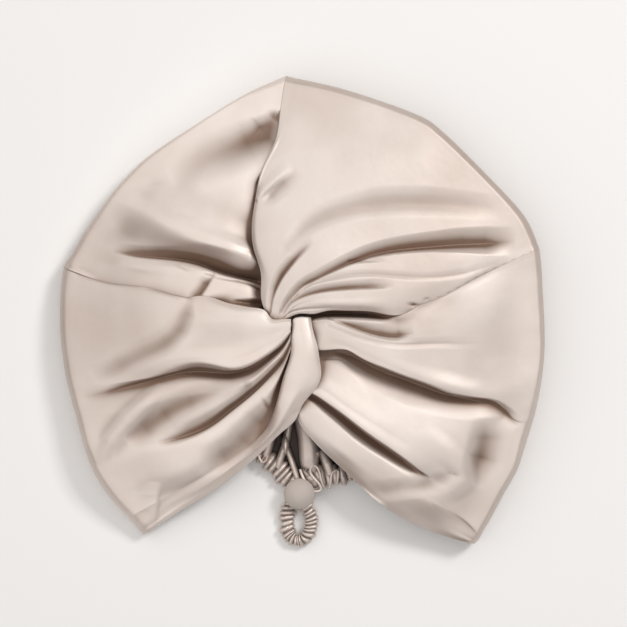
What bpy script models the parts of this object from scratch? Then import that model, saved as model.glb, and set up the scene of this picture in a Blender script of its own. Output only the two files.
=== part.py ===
"""A twist-front satin sleep bonnet, lying on its back panel with its front side up.

The crown peak points to +Y and the nape to -Y. Four satin panels are drawn into the twist at the front. Each
one is a thin wall lofted across its folds. Every fold is a row of a table: it starts at the twist, passes
three stations and ends at the rolled outline.
"""

from collections import namedtuple

import bpy
import numpy as np

# Sizes of the whole, in metres
BONNET_WIDTH = 0.309
BONNET_LENGTH = 0.3034
KNOT_HEIGHT = 0.052
PUFF_HEIGHT = 0.042

# Satin walls and how they meet
WALL = 0.0012
SEAM_GAP = 0.0004
PIECE_GAP = 0.0003

# How far an under panel's edge draws back and down below the panel above it
TUCK_DEPTH = 0.0045
TUCK_DROP = 0.0030

# Rolled outline: height where the cloth turns under, its inward run, and the strip that lies underneath
ROLL_HEIGHT = 0.006
ROLL_RUN = 0.005
UNDER_RUN = 0.012
RIM_RUN = 0.042

# Gathers of the back panel, where it runs into the nape band
GATHERS = 12
GATHER_HEIGHT = 0.009

# Nape band, button and loop
BAND_WIDTH = 0.0105
BAND_HEIGHT = 0.008
BUTTON_DIAMETER = 0.019
BUTTON_THICKNESS = 0.0048
BUTTON_EDGE = 0.0012
BUTTON_DROP = 0.0025
LOOP_LENGTH = 0.032
LOOP_WIDTH = 0.0245
LOOP_TUBE = 0.0088
LOOP_HEIGHT = 0.007
LOOP_NECK_GAP = 0.0008

# Ruching of the band and the loop, as a share of their widths
BAND_RIPPLE = 0.10
LOOP_RIPPLE = 0.07

# How finely the pieces are divided
STEPS_PER_FOLD = 2
STEPS_TO_SHOULDER = 11
STEPS_OVER_RIM = 6
STEPS_UNDER_RIM = 3
BAND_RINGS = 48
LOOP_RINGS = 40
LOOP_STEPS = 24
TUBE_SIDES = 8
BUTTON_SIDES = 24
BUTTON_BEVEL_STEPS = 2

# A fold's stations, each (across, along, rise). Across and along are thousandths of half the bonnet's width
# and length. Rises are hundredths of the knot height at the root and near it, and of the puff height beyond.
Fold = namedtuple("Fold", "name root near middle far tip")


def folds(*rows):
    """Name the columns of a table of folds."""
    return [Fold(*row) for row in rows]


# Right half of the crown, from its free edge on the left to its side seam
CROWN_RIGHT = folds(
    ("free_edge", (-130, -35, 83), (-171, 121, 82), (-200, 332, 90), (-163, 627, 86), (-59, 998)),
    ("front", (-121, -35, 83), (-142, 125, 85), (-117, 370, 99), (7, 711, 93), (181, 939)),
    ("top", (-117, -35, 83), (-126, 133, 87), (-39, 386, 103), (223, 648, 96), (409, 859)),
    ("shoulder", (-113, -35, 83), (-109, 142, 86), (36, 408, 102), (376, 585, 97), (600, 745)),
    ("first_valley", (-109, -35, 81), (-84, 159, 80), (102, 386, 95), (513, 467, 91), (770, 572)),
    ("first_ridge", (-101, -35, 84), (-51, 129, 93), (152, 327, 107), (542, 412, 95), (869, 463)),
    ("deep_valley", (-92, -35, 82), (-30, 95, 83), (202, 218, 82), (583, 285, 79), (923, 382)),
    ("second_top", (-88, -35, 83), (-18, 83, 90), (210, 190, 98), (592, 252, 88), (935, 357)),
    ("second_ridge", (-83, -35, 84), (-10, 70, 94), (214, 150, 104), (600, 176, 89), (948, 336)),
    ("second_valley", (-76, -35, 83), (3, 49, 89), (210, 87, 94), (604, 138, 86), (960, 315)),
    ("rim_ridge", (-68, -35, 85), (15, 36, 97), (223, 62, 109), (608, 112, 88), (973, 290)),
    ("rim_crest", (-63, -35, 85), (24, 11, 99), (252, 28, 108), (612, 95, 87), (975, 277)),
    ("side_seam", (-59, -40, 83), (40, -14, 93), (305, -10, 97), (616, 83, 84), (977, 264)),
)

# Left lobe, from the edge of its flap and its side seam to its hem
WRAP_LEFT = folds(
    ("flap_edge", (-47, -23, 96), (-163, 19, 89), (-399, 78, 92), (-689, 116, 78), (-988, 201)),
    ("flap_ridge", (-47, -38, 97), (-163, -40, 94), (-391, -30, 103), (-689, -19, 90), (-1000, 45)),
    ("bulge", (-47, -58, 95), (-150, -103, 92), (-345, -154, 107), (-677, -162, 93), (-996, -111)),
    ("bulge_lip", (-46, -69, 92), (-142, -162, 87), (-337, -221, 94), (-648, -255, 86), (-973, -235)),
    ("first_crease", (-46, -78, 89), (-136, -183, 79), (-329, -246, 74), (-644, -314, 80), (-963, -297)),
    ("first_ridge", (-45, -86, 89), (-126, -196, 81), (-304, -318, 94), (-627, -415, 90), (-930, -432)),
    ("second_crease", (-44, -95, 87), (-109, -208, 77), (-250, -360, 74), (-586, -533, 79), (-884, -597)),
    ("second_ridge", (-42, -102, 87), (-92, -217, 80), (-204, -398, 90), (-503, -639, 84), (-818, -727)),
    ("tongue_crease", (-32, -75, 82), (-43, -168, 77), (-109, -415, 77), (-407, -711, 70), (-751, -824)),
    ("tongue_edge", (-20, -35, 82), (-22, -162, 86), (-88, -407, 91), (-380, -715, 70), (-731, -858)),
    ("tongue_ridge", (7, 19, 84), (19, -154, 92), (-18, -355, 97), (-300, -690, 67), (-697, -892)),
    ("hem", (40, 19, 80), (80, -215, 87), (3, -390, 88), (-254, -660, 52), (-656, -934)),
)

# Left half of the crown, between its centre seam and its side seam, which follow the panels that lap over it
CROWN_LEFT = folds(
    ("front", (-170, 432, 64), (-199, 486, 67), (-229, 585, 88), (-254, 749, 86), (-242, 910)),
    ("top", (-167, 361, 66), (-229, 420, 70), (-329, 522, 90), (-428, 669, 85), (-503, 752)),
    ("shoulder", (-163, 294, 66), (-242, 344, 70), (-370, 437, 93), (-552, 555, 84), (-685, 614)),
    ("ridge", (-155, 218, 65), (-237, 264, 74), (-370, 323, 98), (-594, 412, 84), (-793, 492)),
    ("deep_valley", (-134, 125, 58), (-233, 159, 56), (-399, 209, 62), (-656, 256, 66), (-892, 336)),
    ("small_ridge", (-130, 108, 62), (-229, 138, 67), (-407, 180, 80), (-664, 218, 71), (-933, 281)),
    ("puff", (-126, 66, 64), (-225, 87, 70), (-378, 121, 86), (-677, 159, 75), (-967, 230)),
)

# Right lobe, below its side seam, with the big lap fold, down to its hem
WRAP_RIGHT = folds(
    ("first_valley", (7, -35, 66), (98, -19, 70), (318, -73, 80), (625, -35, 84), (985, 192)),
    ("thin_ridge", (11, -52, 70), (111, -35, 75), (326, -99, 90), (637, -90, 86), (989, 108)),
    ("thin_crease", (15, -69, 69), (119, -52, 74), (339, -120, 87), (658, -141, 84), (993, 24)),
    ("broad_ridge", (15, -95, 70), (119, -95, 80), (318, -162, 100), (637, -255, 92), (1000, -154)),
    ("lap_crest", (15, -124, 70), (111, -137, 82), (293, -196, 100), (608, -322, 92), (993, -272)),
    ("lap_lip", (11, -141, 68), (107, -158, 78), (276, -212, 92), (604, -341, 86), (985, -314)),
    ("lap_tuck", (7, -152, 64), (102, -166, 70), (272, -214, 78), (596, -343, 76), (977, -352)),
    ("lap_valley", (3, -180, 60), (102, -192, 61), (268, -251, 67), (575, -375, 70), (964, -398)),
    ("puff", (1, -222, 60), (80, -262, 70), (252, -348, 92), (562, -483, 85), (939, -491)),
    ("low_ridge", (-5, -255, 60), (69, -314, 71), (243, -415, 94), (533, -597, 84), (877, -677)),
    ("low_crease", (-14, -280, 56), (44, -352, 61), (210, -474, 76), (459, -651, 67), (823, -782)),
    ("hem_ridge", (-22, -314, 56), (28, -398, 63), (181, -559, 79), (426, -786, 60), (774, -879)),
    ("hem", (-39, -356, 56), (-1, -466, 62), (160, -647, 56), (430, -871, 30), (720, -968)),
)

# How an under panel's edge leaves the edge above it: the shares of that edge where it starts and where the
# two meet, and +1 where the under panel goes on to the left of it, seen from the twist, or -1 to the right
Tuck = namedtuple("Tuck", "start join side")
LEFT_SEAM_TUCK = Tuck(0.16, 0.42, -1)
CENTRE_SEAM_TUCK = Tuck(0.52, 0.72, 1)
RIGHT_SEAM_TUCK = Tuck(0.14, 0.46, -1)

# Line of the back panel's edge in thousandths (across, along): to the nape band, along it, and to the corner
LEFT_BACK_HEM = ((-552, -837), (-449, -685))
NAPE_LINE = (
    (-316, -521), (-213, -576), (-130, -651), (-59, -719), (-10, -744),
    (48, -732), (119, -706), (202, -685), (305, -651),
)
RIGHT_BACK_HEM = ((471, -800), (614, -935))
NAPE_MIDDLE = 0.5

# Rows of the back panel, as shares of the way from its edge to the outline, and how high its gathers stand
GatherRow = namedtuple("GatherRow", "share lift")
GATHER_ROWS = (
    GatherRow(0.0, 0.45),
    GatherRow(0.07, 0.90),
    GatherRow(0.15, 0.70),
    GatherRow(0.26, 0.28),
    GatherRow(0.38, 0.0),
    GatherRow(1.0, 0.0),
)
GATHER_ENDS = 0.06

# Larger ruffles of the nape band: place along it, growth in height and half width, as shares
Ruffle = namedtuple("Ruffle", "place growth width")
RUFFLES = (
    Ruffle(0.67, 0.20, 0.022),
    Ruffle(0.75, 0.30, 0.022),
    Ruffle(0.84, 0.20, 0.022),
)

# Shape of the loop's legs: across as shares from neck to bend, along as shares of the straight length
LoopStation = namedtuple("LoopStation", "across along")
LOOP_LEG = (
    LoopStation(0.0, 0.0),
    LoopStation(0.0, 0.12),
    LoopStation(1.0, 0.75),
    LoopStation(1.0, 1.0),
)

# The share of its rise that a fold keeps at the rim, and the rise below which a corner is pinched flat
SHOULDER_SHARE = 0.8
CORNER_RISE = 80

# Share of a fold's length over which its wall is evened out
EVENED_SHARE = 1 / 3

# Finishes
SATIN_COLOUR = (0.62, 0.50, 0.44)
SATIN_ROUGHNESS = 0.35
BUTTON_COLOUR = (0.60, 0.49, 0.43)
BUTTON_ROUGHNESS = 0.6

HALF_WIDTH = BONNET_WIDTH / 2
HALF_LENGTH = BONNET_LENGTH / 2
PLAN_UNIT = np.array((HALF_WIDTH, HALF_LENGTH)) / 1000
RIM_SHARE = RIM_RUN / ((HALF_WIDTH + HALF_LENGTH) / 2)


def clear_scene():
    """Remove every object of the scene."""
    for item in list(bpy.data.objects):
        bpy.data.objects.remove(item, do_unlink=True)


def smooth_step(value):
    """Rise from 0 to 1 with level ends."""
    share = np.clip(value, 0.0, 1.0)
    return share * share * (3.0 - 2.0 * share)


def unit(vectors):
    """Scale vectors to length one."""
    return vectors / np.maximum(np.linalg.norm(vectors, axis=-1, keepdims=True), 1e-12)


def chord_knots(points, power=1.0):
    """Give each point its share of the way along the points."""
    steps = np.linalg.norm(np.diff(points, axis=0), axis=1) ** power
    run = np.concatenate([[0.0], np.cumsum(steps)])
    return run / run[-1]


def left_of(ahead):
    """Directions square to the given plan directions, to their left."""
    return np.column_stack([-ahead[:, 1], ahead[:, 0]])


def natural_spline(knots, points, places):
    """Read a smooth curve through the points, with free ends, at the given places."""
    count = len(knots)
    gaps = np.diff(knots)
    system = np.eye(count)
    right = np.zeros((count, points.shape[1]))
    slopes = np.diff(points, axis=0) / gaps[:, None]
    for row in range(1, count - 1):
        system[row, row - 1] = gaps[row - 1]
        system[row, row] = 2.0 * (gaps[row - 1] + gaps[row])
        system[row, row + 1] = gaps[row]
        right[row] = 6.0 * (slopes[row] - slopes[row - 1])
    bends = np.linalg.solve(system, right)
    index = np.clip(np.searchsorted(knots, places, side="right") - 1, 0, count - 2)
    gap = gaps[index][:, None]
    after = (places - knots[index])[:, None] / gap
    before = 1.0 - after
    curve = before * points[index] + after * points[index + 1]
    bend = (before**3 - before) * bends[index] + (after**3 - after) * bends[index + 1]
    return curve + bend * gap**2 / 6.0


def blending(knots, places):
    """Give the weights by which the rows at the knots blend at the places, with no sharp change of slope."""
    count = len(knots)
    rows = np.eye(count)
    slopes = np.empty_like(rows)
    slopes[0] = (rows[1] - rows[0]) / (knots[1] - knots[0])
    slopes[-1] = (rows[-1] - rows[-2]) / (knots[-1] - knots[-2])
    for row in range(1, count - 1):
        before = knots[row] - knots[row - 1]
        after = knots[row + 1] - knots[row]
        rise_before = (rows[row] - rows[row - 1]) / before
        rise_after = (rows[row + 1] - rows[row]) / after
        slopes[row] = (after * rise_before + before * rise_after) / (before + after)
    index = np.clip(np.searchsorted(knots, places, side="right") - 1, 0, count - 2)
    gap = (knots[index + 1] - knots[index])[:, None]
    share = (places - knots[index])[:, None] / gap
    start = 2 * share**3 - 3 * share**2 + 1
    leave = share**3 - 2 * share**2 + share
    end = 3 * share**2 - 2 * share**3
    arrive = share**3 - share**2
    level = start * rows[index] + end * rows[index + 1]
    return level + gap * (leave * slopes[index] + arrive * slopes[index + 1])


def fold_line(fold, places):
    """Follow one fold from the twist to the outline: x, y and the rise before the rim turns down."""
    stations = (fold.root, fold.near, fold.middle, fold.far)
    plan = np.array([station[:2] for station in stations] + [fold.tip]) * PLAN_UNIT
    heights = (KNOT_HEIGHT, KNOT_HEIGHT, PUFF_HEIGHT, PUFF_HEIGHT)
    rise = [station[2] / 100 * height for station, height in zip(stations, heights)]
    rise.append(rise[-1] * SHOULDER_SHARE)
    return natural_spline(chord_knots(plan), np.column_stack([plan, rise]), places)


def edge_height(fold):
    """Height at which a fold's cloth turns under: full along the outline, low at the pinched corners."""
    return ROLL_HEIGHT * min(1.0, fold.far[2] / CORNER_RISE)


def along_places():
    """Places along a fold, from the twist to the outline, and the share of its rise that each one keeps."""
    level = np.linspace(0.0, 1.0 - RIM_SHARE, STEPS_TO_SHOULDER + 1)
    turn = np.linspace(np.pi / 2, 0.0, STEPS_OVER_RIM + 1)[1:]
    places = np.concatenate([level, 1.0 - RIM_SHARE * (1.0 - np.cos(turn))])
    kept = np.concatenate([np.ones(len(level)), np.sin(turn)])
    return places, kept


def rolled(line, kept, edge):
    """Turn a fold line down at the rim, under the outline and back along the table."""
    top = line.copy()
    top[:, 2] = edge + (line[:, 2] - edge) * kept
    tip = line[-1]
    inward = unit(line[-2, :2] - tip[:2])
    turn = np.linspace(0.0, np.pi / 2, STEPS_UNDER_RIM + 1)[1:]
    run = np.concatenate([ROLL_RUN * (1.0 - np.cos(turn)), [UNDER_RUN]])
    height = np.concatenate([edge * (1.0 - np.sin(turn[:-1])), [0.0, 0.0]])
    under = np.column_stack([tip[:2] + inward * run[:, None], height])
    return np.vstack([top, under])


def edge_line(fold):
    """The rolled line of a panel's own edge."""
    places, kept = along_places()
    return rolled(fold_line(fold, places), kept, edge_height(fold))


def tucked_line(fold, tuck):
    """Line of an under panel's edge: below the edge above it at first, then together with it."""
    places = along_places()[0]
    moved = tuck.start + (1.0 - tuck.start) * places
    line = fold_line(fold, moved)
    left = left_of(unit(np.gradient(line[:, :2], axis=0)))
    parted = 1.0 - smooth_step((moved - tuck.start) / (tuck.join - tuck.start))
    line[:, :2] -= left * (tuck.side * TUCK_DEPTH * smooth_step(2.0 * parted - 1.0))[:, None]
    line[:, 2] -= TUCK_DROP * smooth_step(2.0 * parted)
    past = np.clip((moved - 1.0 + RIM_SHARE) / RIM_SHARE, 0.0, 1.0)
    return rolled(line, np.sqrt(1.0 - past**2), edge_height(fold))


def lofted(lines):
    """Loft a sheet across fold lines, with the same number of steps between each two."""
    middle = lines.shape[1] // 2
    knots = chord_knots(lines[:, middle], 0.5)
    spans = len(lines) - 1
    places = np.interp(np.linspace(0, spans, spans * STEPS_PER_FOLD + 1), np.arange(spans + 1), knots)
    weights = blending(knots, places)
    return np.einsum("sf,ftc->stc", weights, lines)


def last_level():
    """Column of a sheet before its edge turns under."""
    return STEPS_TO_SHOULDER + STEPS_OVER_RIM - 1


def moved_seam(line, side):
    """Draw an edge back from its seam by half the gap that the two panels keep."""
    outward = unit(np.gradient(line[:, :2], axis=0))
    outward[last_level() + 1 :] = outward[last_level()]
    moved = line.copy()
    moved[:, :2] += left_of(outward) * side * SEAM_GAP / 2
    return moved


def sheet_normals(grid):
    """Outward directions of a sheet, evened out where the folds draw together at the twist."""
    across = np.gradient(grid, axis=0)
    along = np.gradient(grid, axis=1)
    own = unit(np.cross(across, along))
    flat = along.copy()
    flat[..., 2] = 0.0
    flat[:, last_level() + 1 :] = flat[:, last_level() : last_level() + 1]
    side = unit(np.stack([flat[..., 1], -flat[..., 0], np.zeros(flat.shape[:2])], axis=-1))
    plain = unit(np.cross(side, along))
    from_twist = np.linspace(0.0, 1.0, grid.shape[1])
    share = smooth_step(from_twist / EVENED_SHARE)[None, :, None]
    mixed = unit(plain * (1.0 - share) + own * share)
    mixed[0] = plain[0]
    mixed[-1] = plain[-1]
    return mixed


def wall_object(name, outer, inner, material):
    """Close two matching grids of points into one wall, and make it an object."""
    rows, columns = outer.shape[:2]
    points = np.concatenate([outer.reshape(-1, 3), inner.reshape(-1, 3)])
    shift = rows * columns
    faces = []
    for row in range(rows - 1):
        for column in range(columns - 1):
            first = row * columns + column
            across, beyond, along = first + columns, first + columns + 1, first + 1
            for corners in ((first, across, beyond), (first, beyond, along)):
                faces.append(corners)
                faces.append(tuple(point + shift for point in reversed(corners)))
    loop = [(0, column) for column in range(columns)]
    loop += [(row, columns - 1) for row in range(1, rows)]
    loop += [(rows - 1, column) for column in range(columns - 2, -1, -1)]
    loop += [(row, 0) for row in range(rows - 2, 0, -1)]
    ring = [row * columns + column for row, column in loop]
    for start, end in zip(ring, ring[1:] + ring[:1]):
        faces.append((start, end, end + shift, start + shift))
    return mesh_object(name, points, faces, material)


def mesh_object(name, points, faces, material):
    """Make an object from points and faces, with smooth shading."""
    mesh = bpy.data.meshes.new(name)
    mesh.from_pydata([tuple(point) for point in points], [], faces)
    mesh.validate()
    mesh.shade_smooth()
    mesh.materials.append(material)
    item = bpy.data.objects.new(name, mesh)
    bpy.context.scene.collection.objects.link(item)
    return item


def surface_material(name, colour, roughness):
    """A plain cloth or button finish."""
    material = bpy.data.materials.new(name)
    material.use_nodes = True
    shader = material.node_tree.nodes["Principled BSDF"]
    shader.inputs["Base Color"].default_value = (*colour, 1.0)
    shader.inputs["Roughness"].default_value = roughness
    shader.inputs["Metallic"].default_value = 0.0
    return material


def panel_grids():
    """Lay out the four satin panels, each as a grid of points from one edge to the other."""
    centre_seam = CROWN_RIGHT[0]
    right_seam = CROWN_RIGHT[-1]
    left_seam = WRAP_LEFT[0]
    wrap_left = [edge_line(fold) for fold in reversed(WRAP_LEFT[1:])]
    wrap_left += [moved_seam(edge_line(left_seam), 1)]
    crown_left = [moved_seam(tucked_line(left_seam, LEFT_SEAM_TUCK), -1)]
    crown_left += [edge_line(fold) for fold in reversed(CROWN_LEFT)]
    crown_left += [moved_seam(tucked_line(centre_seam, CENTRE_SEAM_TUCK), 1)]
    crown_right = [moved_seam(edge_line(centre_seam), -1)]
    crown_right += [edge_line(fold) for fold in CROWN_RIGHT[1:-1]]
    crown_right += [moved_seam(edge_line(right_seam), 1)]
    wrap_right = [moved_seam(tucked_line(right_seam, RIGHT_SEAM_TUCK), -1)]
    wrap_right += [edge_line(fold) for fold in WRAP_RIGHT]
    return {
        "wrap_left": lofted(np.array(wrap_left)),
        "crown_left": lofted(np.array(crown_left)),
        "crown_right": lofted(np.array(crown_right)),
        "wrap_right": lofted(np.array(wrap_right)),
    }


def make_panels(grids, satin):
    """Give each satin panel its wall."""
    for name, grid in grids.items():
        inner = grid - WALL * sheet_normals(grid)
        wall_object(name, grid, inner, satin)


def nape_curve(places):
    """Read the middle line of the nape band, in metres, with its direction."""
    points = np.array(NAPE_LINE) * PLAN_UNIT
    curve = natural_spline(chord_knots(points), points, places)
    return curve, unit(np.gradient(curve, axis=0))


def back_hem(columns_left, columns_band, columns_right):
    """Points along the back panel's free edge, from the left corner to the right one."""
    rim = BAND_WIDTH / 2 * (1 + BAND_RIPPLE) + PIECE_GAP
    band, ahead = nape_curve(np.linspace(0, 1, columns_band))
    band = band + left_of(ahead) * rim
    left = np.vstack([np.array(LEFT_BACK_HEM) * PLAN_UNIT, band[:1]])
    right = np.vstack([band[-1:], np.array(RIGHT_BACK_HEM) * PLAN_UNIT])
    left = natural_spline(chord_knots(left), left, np.linspace(0, 1, columns_left + 1))[:-1]
    right = natural_spline(chord_knots(right), right, np.linspace(0, 1, columns_right + 1))[1:]
    return np.vstack([left, band, right])


def make_back_panel(grids, satin):
    """Fill the outline behind the four panels, and gather the cloth where it runs into the nape band."""
    ends = np.vstack([grid[:, -1, :2] for grid in grids.values()])
    before = np.vstack([grid[:, -2, :2] for grid in grids.values()])
    rim = ends + unit(ends - before) * PIECE_GAP
    left = len(grids["wrap_left"])
    right = len(grids["wrap_right"])
    columns = len(rim) - left - right
    hem = back_hem(left, columns, right)
    place = (np.arange(len(rim)) - left) / (columns - 1)
    wave = 0.5 - 0.5 * np.cos(2 * np.pi * GATHERS * place)
    wave = wave * smooth_step(place / GATHER_ENDS) * smooth_step((1.0 - place) / GATHER_ENDS)
    rows = []
    for row in GATHER_ROWS:
        plan = hem + (rim - hem) * row.share
        rows.append(np.column_stack([plan, GATHER_HEIGHT * row.lift * wave]))
    lower = np.array(rows).transpose(1, 0, 2)
    upper = lower + (0.0, 0.0, WALL)
    wall_object("back_panel", upper, lower, satin)


def tube_object(name, centre, side, widths, heights, material):
    """Sweep a flattened round tube along a line on the table, with its ends closed."""
    turns = np.linspace(0, 2 * np.pi, TUBE_SIDES, endpoint=False)
    across = np.cos(turns)[None, :, None] * side[:, None, :] * widths[:, None, None] / 2
    plan = centre[:, None, :] + across
    rise = (1.0 + np.sin(turns))[None, :] * heights[:, None] / 2
    points = np.concatenate([plan, rise[:, :, None]], axis=2).reshape(-1, 3)
    faces = [tuple(reversed(range(TUBE_SIDES)))]
    for ring in range(len(centre) - 1):
        for turn in range(TUBE_SIDES):
            first = ring * TUBE_SIDES + turn
            second = ring * TUBE_SIDES + (turn + 1) % TUBE_SIDES
            faces.append((first, second, second + TUBE_SIDES, first + TUBE_SIDES))
    last = (len(centre) - 1) * TUBE_SIDES
    faces.append(tuple(range(last, last + TUBE_SIDES)))
    return mesh_object(name, points, faces, material)


def make_nape_band(satin):
    """Sweep the gathered elastic band along the nape, with its larger ruffles."""
    places = np.linspace(0, 1, BAND_RINGS + 1)
    centre, ahead = nape_curve(places)
    gathered = 1.0 + BAND_RIPPLE * np.cos(np.pi * np.arange(BAND_RINGS + 1))
    ruffled = np.ones(BAND_RINGS + 1)
    for ruffle in RUFFLES:
        ruffled += ruffle.growth * np.exp(-(((places - ruffle.place) / ruffle.width) ** 2))
    heights = BAND_HEIGHT * ruffled
    return tube_object("nape_band", centre, left_of(ahead), BAND_WIDTH * gathered, heights, satin)


def make_button(button_finish):
    """Turn the flat round button that sits on the middle of the nape band."""
    middle = nape_curve(np.array([0.0, NAPE_MIDDLE, 1.0]))[0][1]
    base = BAND_HEIGHT + PIECE_GAP
    bpy.ops.mesh.primitive_cylinder_add(
        vertices=BUTTON_SIDES,
        radius=BUTTON_DIAMETER / 2,
        depth=BUTTON_THICKNESS,
        location=(middle[0], middle[1] - BUTTON_DROP, base + BUTTON_THICKNESS / 2),
    )
    button = bpy.context.object
    button.name = "button"
    bevel = button.modifiers.new("rounded_edge", "BEVEL")
    bevel.width = BUTTON_EDGE
    bevel.segments = BUTTON_BEVEL_STEPS
    bevel.limit_method = "ANGLE"
    button.data.shade_smooth()
    button.data.materials.append(button_finish)
    return button


def loop_start():
    """Middle of the loop's neck, just clear of the lower edge of the nape band."""
    line, ahead = nape_curve(np.linspace(0, 1, 2 * BAND_RINGS + 1))
    middle = line[BAND_RINGS]
    lower = line - left_of(ahead) * BAND_WIDTH / 2 * (1 + BAND_RIPPLE)
    near = np.abs(lower[:, 0] - middle[0]) < LOOP_TUBE + LOOP_NECK_GAP
    return np.array((middle[0], lower[near, 1].min() - PIECE_GAP))


def make_button_loop(satin):
    """Sweep the gathered elastic loop that hangs from the nape band below the button."""
    bend = (LOOP_WIDTH - LOOP_TUBE) / 2
    neck = (LOOP_TUBE + LOOP_NECK_GAP) / 2
    straight = LOOP_LENGTH - LOOP_WIDTH / 2
    stations = np.array(LOOP_LEG)
    leg = np.column_stack([neck + (bend - neck) * stations[:, 0], -straight * stations[:, 1]])
    leg = natural_spline(chord_knots(leg), leg, np.linspace(0, 1, LOOP_STEPS))
    turns = np.linspace(0, np.pi, LOOP_STEPS)[1:-1]
    arc = np.column_stack([bend * np.cos(turns), -straight - bend * np.sin(turns)])
    whole = np.vstack([leg, arc, leg[::-1] * (-1, 1)])
    knots = chord_knots(whole)
    places = np.linspace(0, 1, LOOP_RINGS + 1)
    centre = np.column_stack([np.interp(places, knots, whole[:, axis]) for axis in (0, 1)])
    ahead = unit(np.gradient(centre, axis=0))
    ahead[0] = (0.0, -1.0)
    ahead[-1] = (0.0, 1.0)
    gathered = 1.0 - LOOP_RIPPLE * (np.arange(LOOP_RINGS + 1) % 2)
    widths = LOOP_TUBE * gathered
    heights = LOOP_HEIGHT * gathered
    return tube_object("button_loop", centre + loop_start(), left_of(ahead), widths, heights, satin)


def stand_on_origin():
    """Move all the pieces together so that the middle of the bonnet's footprint is the origin."""
    bpy.context.view_layer.update()
    pieces = [item for item in bpy.data.objects if item.type == "MESH"]
    corners = []
    for item in pieces:
        corners += [item.matrix_world @ vertex.co for vertex in item.data.vertices]
    corners = np.array(corners)
    low = corners.min(axis=0)
    high = corners.max(axis=0)
    shift = ((low[0] + high[0]) / 2, (low[1] + high[1]) / 2, low[2])
    for item in pieces:
        item.location = [place - moved for place, moved in zip(item.location, shift)]


def main():
    clear_scene()
    satin = surface_material("champagne_satin", SATIN_COLOUR, SATIN_ROUGHNESS)
    button_finish = surface_material("matt_button", BUTTON_COLOUR, BUTTON_ROUGHNESS)
    grids = panel_grids()
    make_panels(grids, satin)
    make_back_panel(grids, satin)
    make_nape_band(satin)
    make_button(button_finish)
    make_button_loop(satin)
    stand_on_origin()


main()
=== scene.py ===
import math
from collections import namedtuple

import bpy
import numpy as np
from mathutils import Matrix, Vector


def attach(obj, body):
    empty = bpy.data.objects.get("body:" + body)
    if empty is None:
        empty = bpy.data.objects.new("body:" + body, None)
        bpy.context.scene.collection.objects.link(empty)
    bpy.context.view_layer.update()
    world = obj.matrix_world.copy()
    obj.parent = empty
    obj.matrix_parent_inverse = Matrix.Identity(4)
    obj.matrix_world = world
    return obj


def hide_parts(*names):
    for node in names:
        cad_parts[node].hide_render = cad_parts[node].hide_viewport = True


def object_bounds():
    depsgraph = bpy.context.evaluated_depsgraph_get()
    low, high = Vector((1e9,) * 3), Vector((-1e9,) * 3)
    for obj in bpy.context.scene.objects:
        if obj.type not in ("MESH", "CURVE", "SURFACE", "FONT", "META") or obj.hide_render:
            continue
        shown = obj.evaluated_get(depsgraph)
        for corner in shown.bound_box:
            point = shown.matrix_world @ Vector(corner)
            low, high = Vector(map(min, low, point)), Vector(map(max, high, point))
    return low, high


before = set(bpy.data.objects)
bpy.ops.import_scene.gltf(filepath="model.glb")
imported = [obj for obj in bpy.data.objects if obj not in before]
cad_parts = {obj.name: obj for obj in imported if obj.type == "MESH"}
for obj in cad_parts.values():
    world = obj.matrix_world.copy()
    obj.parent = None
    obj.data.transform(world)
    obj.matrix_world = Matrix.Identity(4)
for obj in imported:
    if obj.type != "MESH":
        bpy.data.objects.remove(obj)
cad_low, cad_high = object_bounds()

MM_IN_METRE = 1000

# Sizes of the bonnet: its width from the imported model, and its length as a share of that
LENGTH_SHARE = 0.982
HALF_WIDTH = (cad_high[0] - cad_low[0]) / 2
HALF_LENGTH = LENGTH_SHARE * HALF_WIDTH
PLAN_UNIT = np.array((HALF_WIDTH, HALF_LENGTH)) / 1000

# The camera hangs over the table and looks straight down, so a place in its picture is a place on the bonnet
CAMERA_HEIGHT = 1.1
CAMERA_PLACE = (0.0078, 0.0)
FRAME_STEPS = 627
STEP_ON_TABLE = 0.0006403

# Cloth: its thickness, how far the edge of an under panel keeps clear of the edge over it, and how the rim
# rolls down and under. A pinched corner turns under at the given part of its height.
CLOTH = 0.0009
TUCK_DEPTH = 0.0045
TUCK_DROP = 0.0030
ROLL_HEIGHT = 0.006
ROLL_RUN = 0.005
UNDER_RUN = 0.012
CORNER_PART = 4
RIM_RUN = 0.0064
RIM_SHARE = RIM_RUN / ((HALF_WIDTH + HALF_LENGTH) / 2)
RIM_POWER = 2.0

# Sag of the puffed cloth towards the outline: its full share, and how much more or less it is on some sides
SAG = 0.22
SAG_POWER = 1.8
LEFT_SIDE = (-0.93, 0.37)
SAG_SIDES = (((-0.2, -0.98), -0.95), (LEFT_SIDE, 1.3), ((0.7, 0.7), -0.8), ((0.1, 0.99), -0.4))
SHOULDER_SHARE = 0.93

# Folds die out towards the outline over this many rows, from this share of the way on
RELAX_ROWS = 15
RELAX_START = 0.70
EVENED_SHARE = 1 / 3

# Creases, in millimetres: narrow ones are crisp, wide ones are soft, and gathers higher than this are round
CREASE_POWER = 1.25
CREASE_STEPS = 10
CRISP_WIDTH = 3.0
SOFT_WIDTH = 7.0
GATHER_HEIGHT = 4.0

# Painted shade, mixed into the satin as brown: in low places, as reaches in steps of the camera's picture
# with a depth for each, in deep creases, on slopes that lean away from the window, on the rim, and on the far
# sides of the outline
HOLLOW_REACHES = ((4.0, 0.0026), (9.0, 0.0075), (22.0, 0.020))
DEEP_AT = 6.5
DEEP_SHARE = 0.75
WINDOW_SIDE = (0.75, 0.66)
LEAN_START, LEAN_END = 0.12, 0.7
LEAN_SHARE = 0.65
# The rim takes painted shade, more where it faces the window, which dims its highlight
RIM_SHADE = 0.10
RIM_SHADE_TO_WINDOW = 0.28
RIM_BLEND = 10
EDGE_START = 0.25
EDGE_SHADES = (((-1.0, 0.0), 0.46), ((0.8, 0.6), 0.16))
EDGE_POWER = 4

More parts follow.
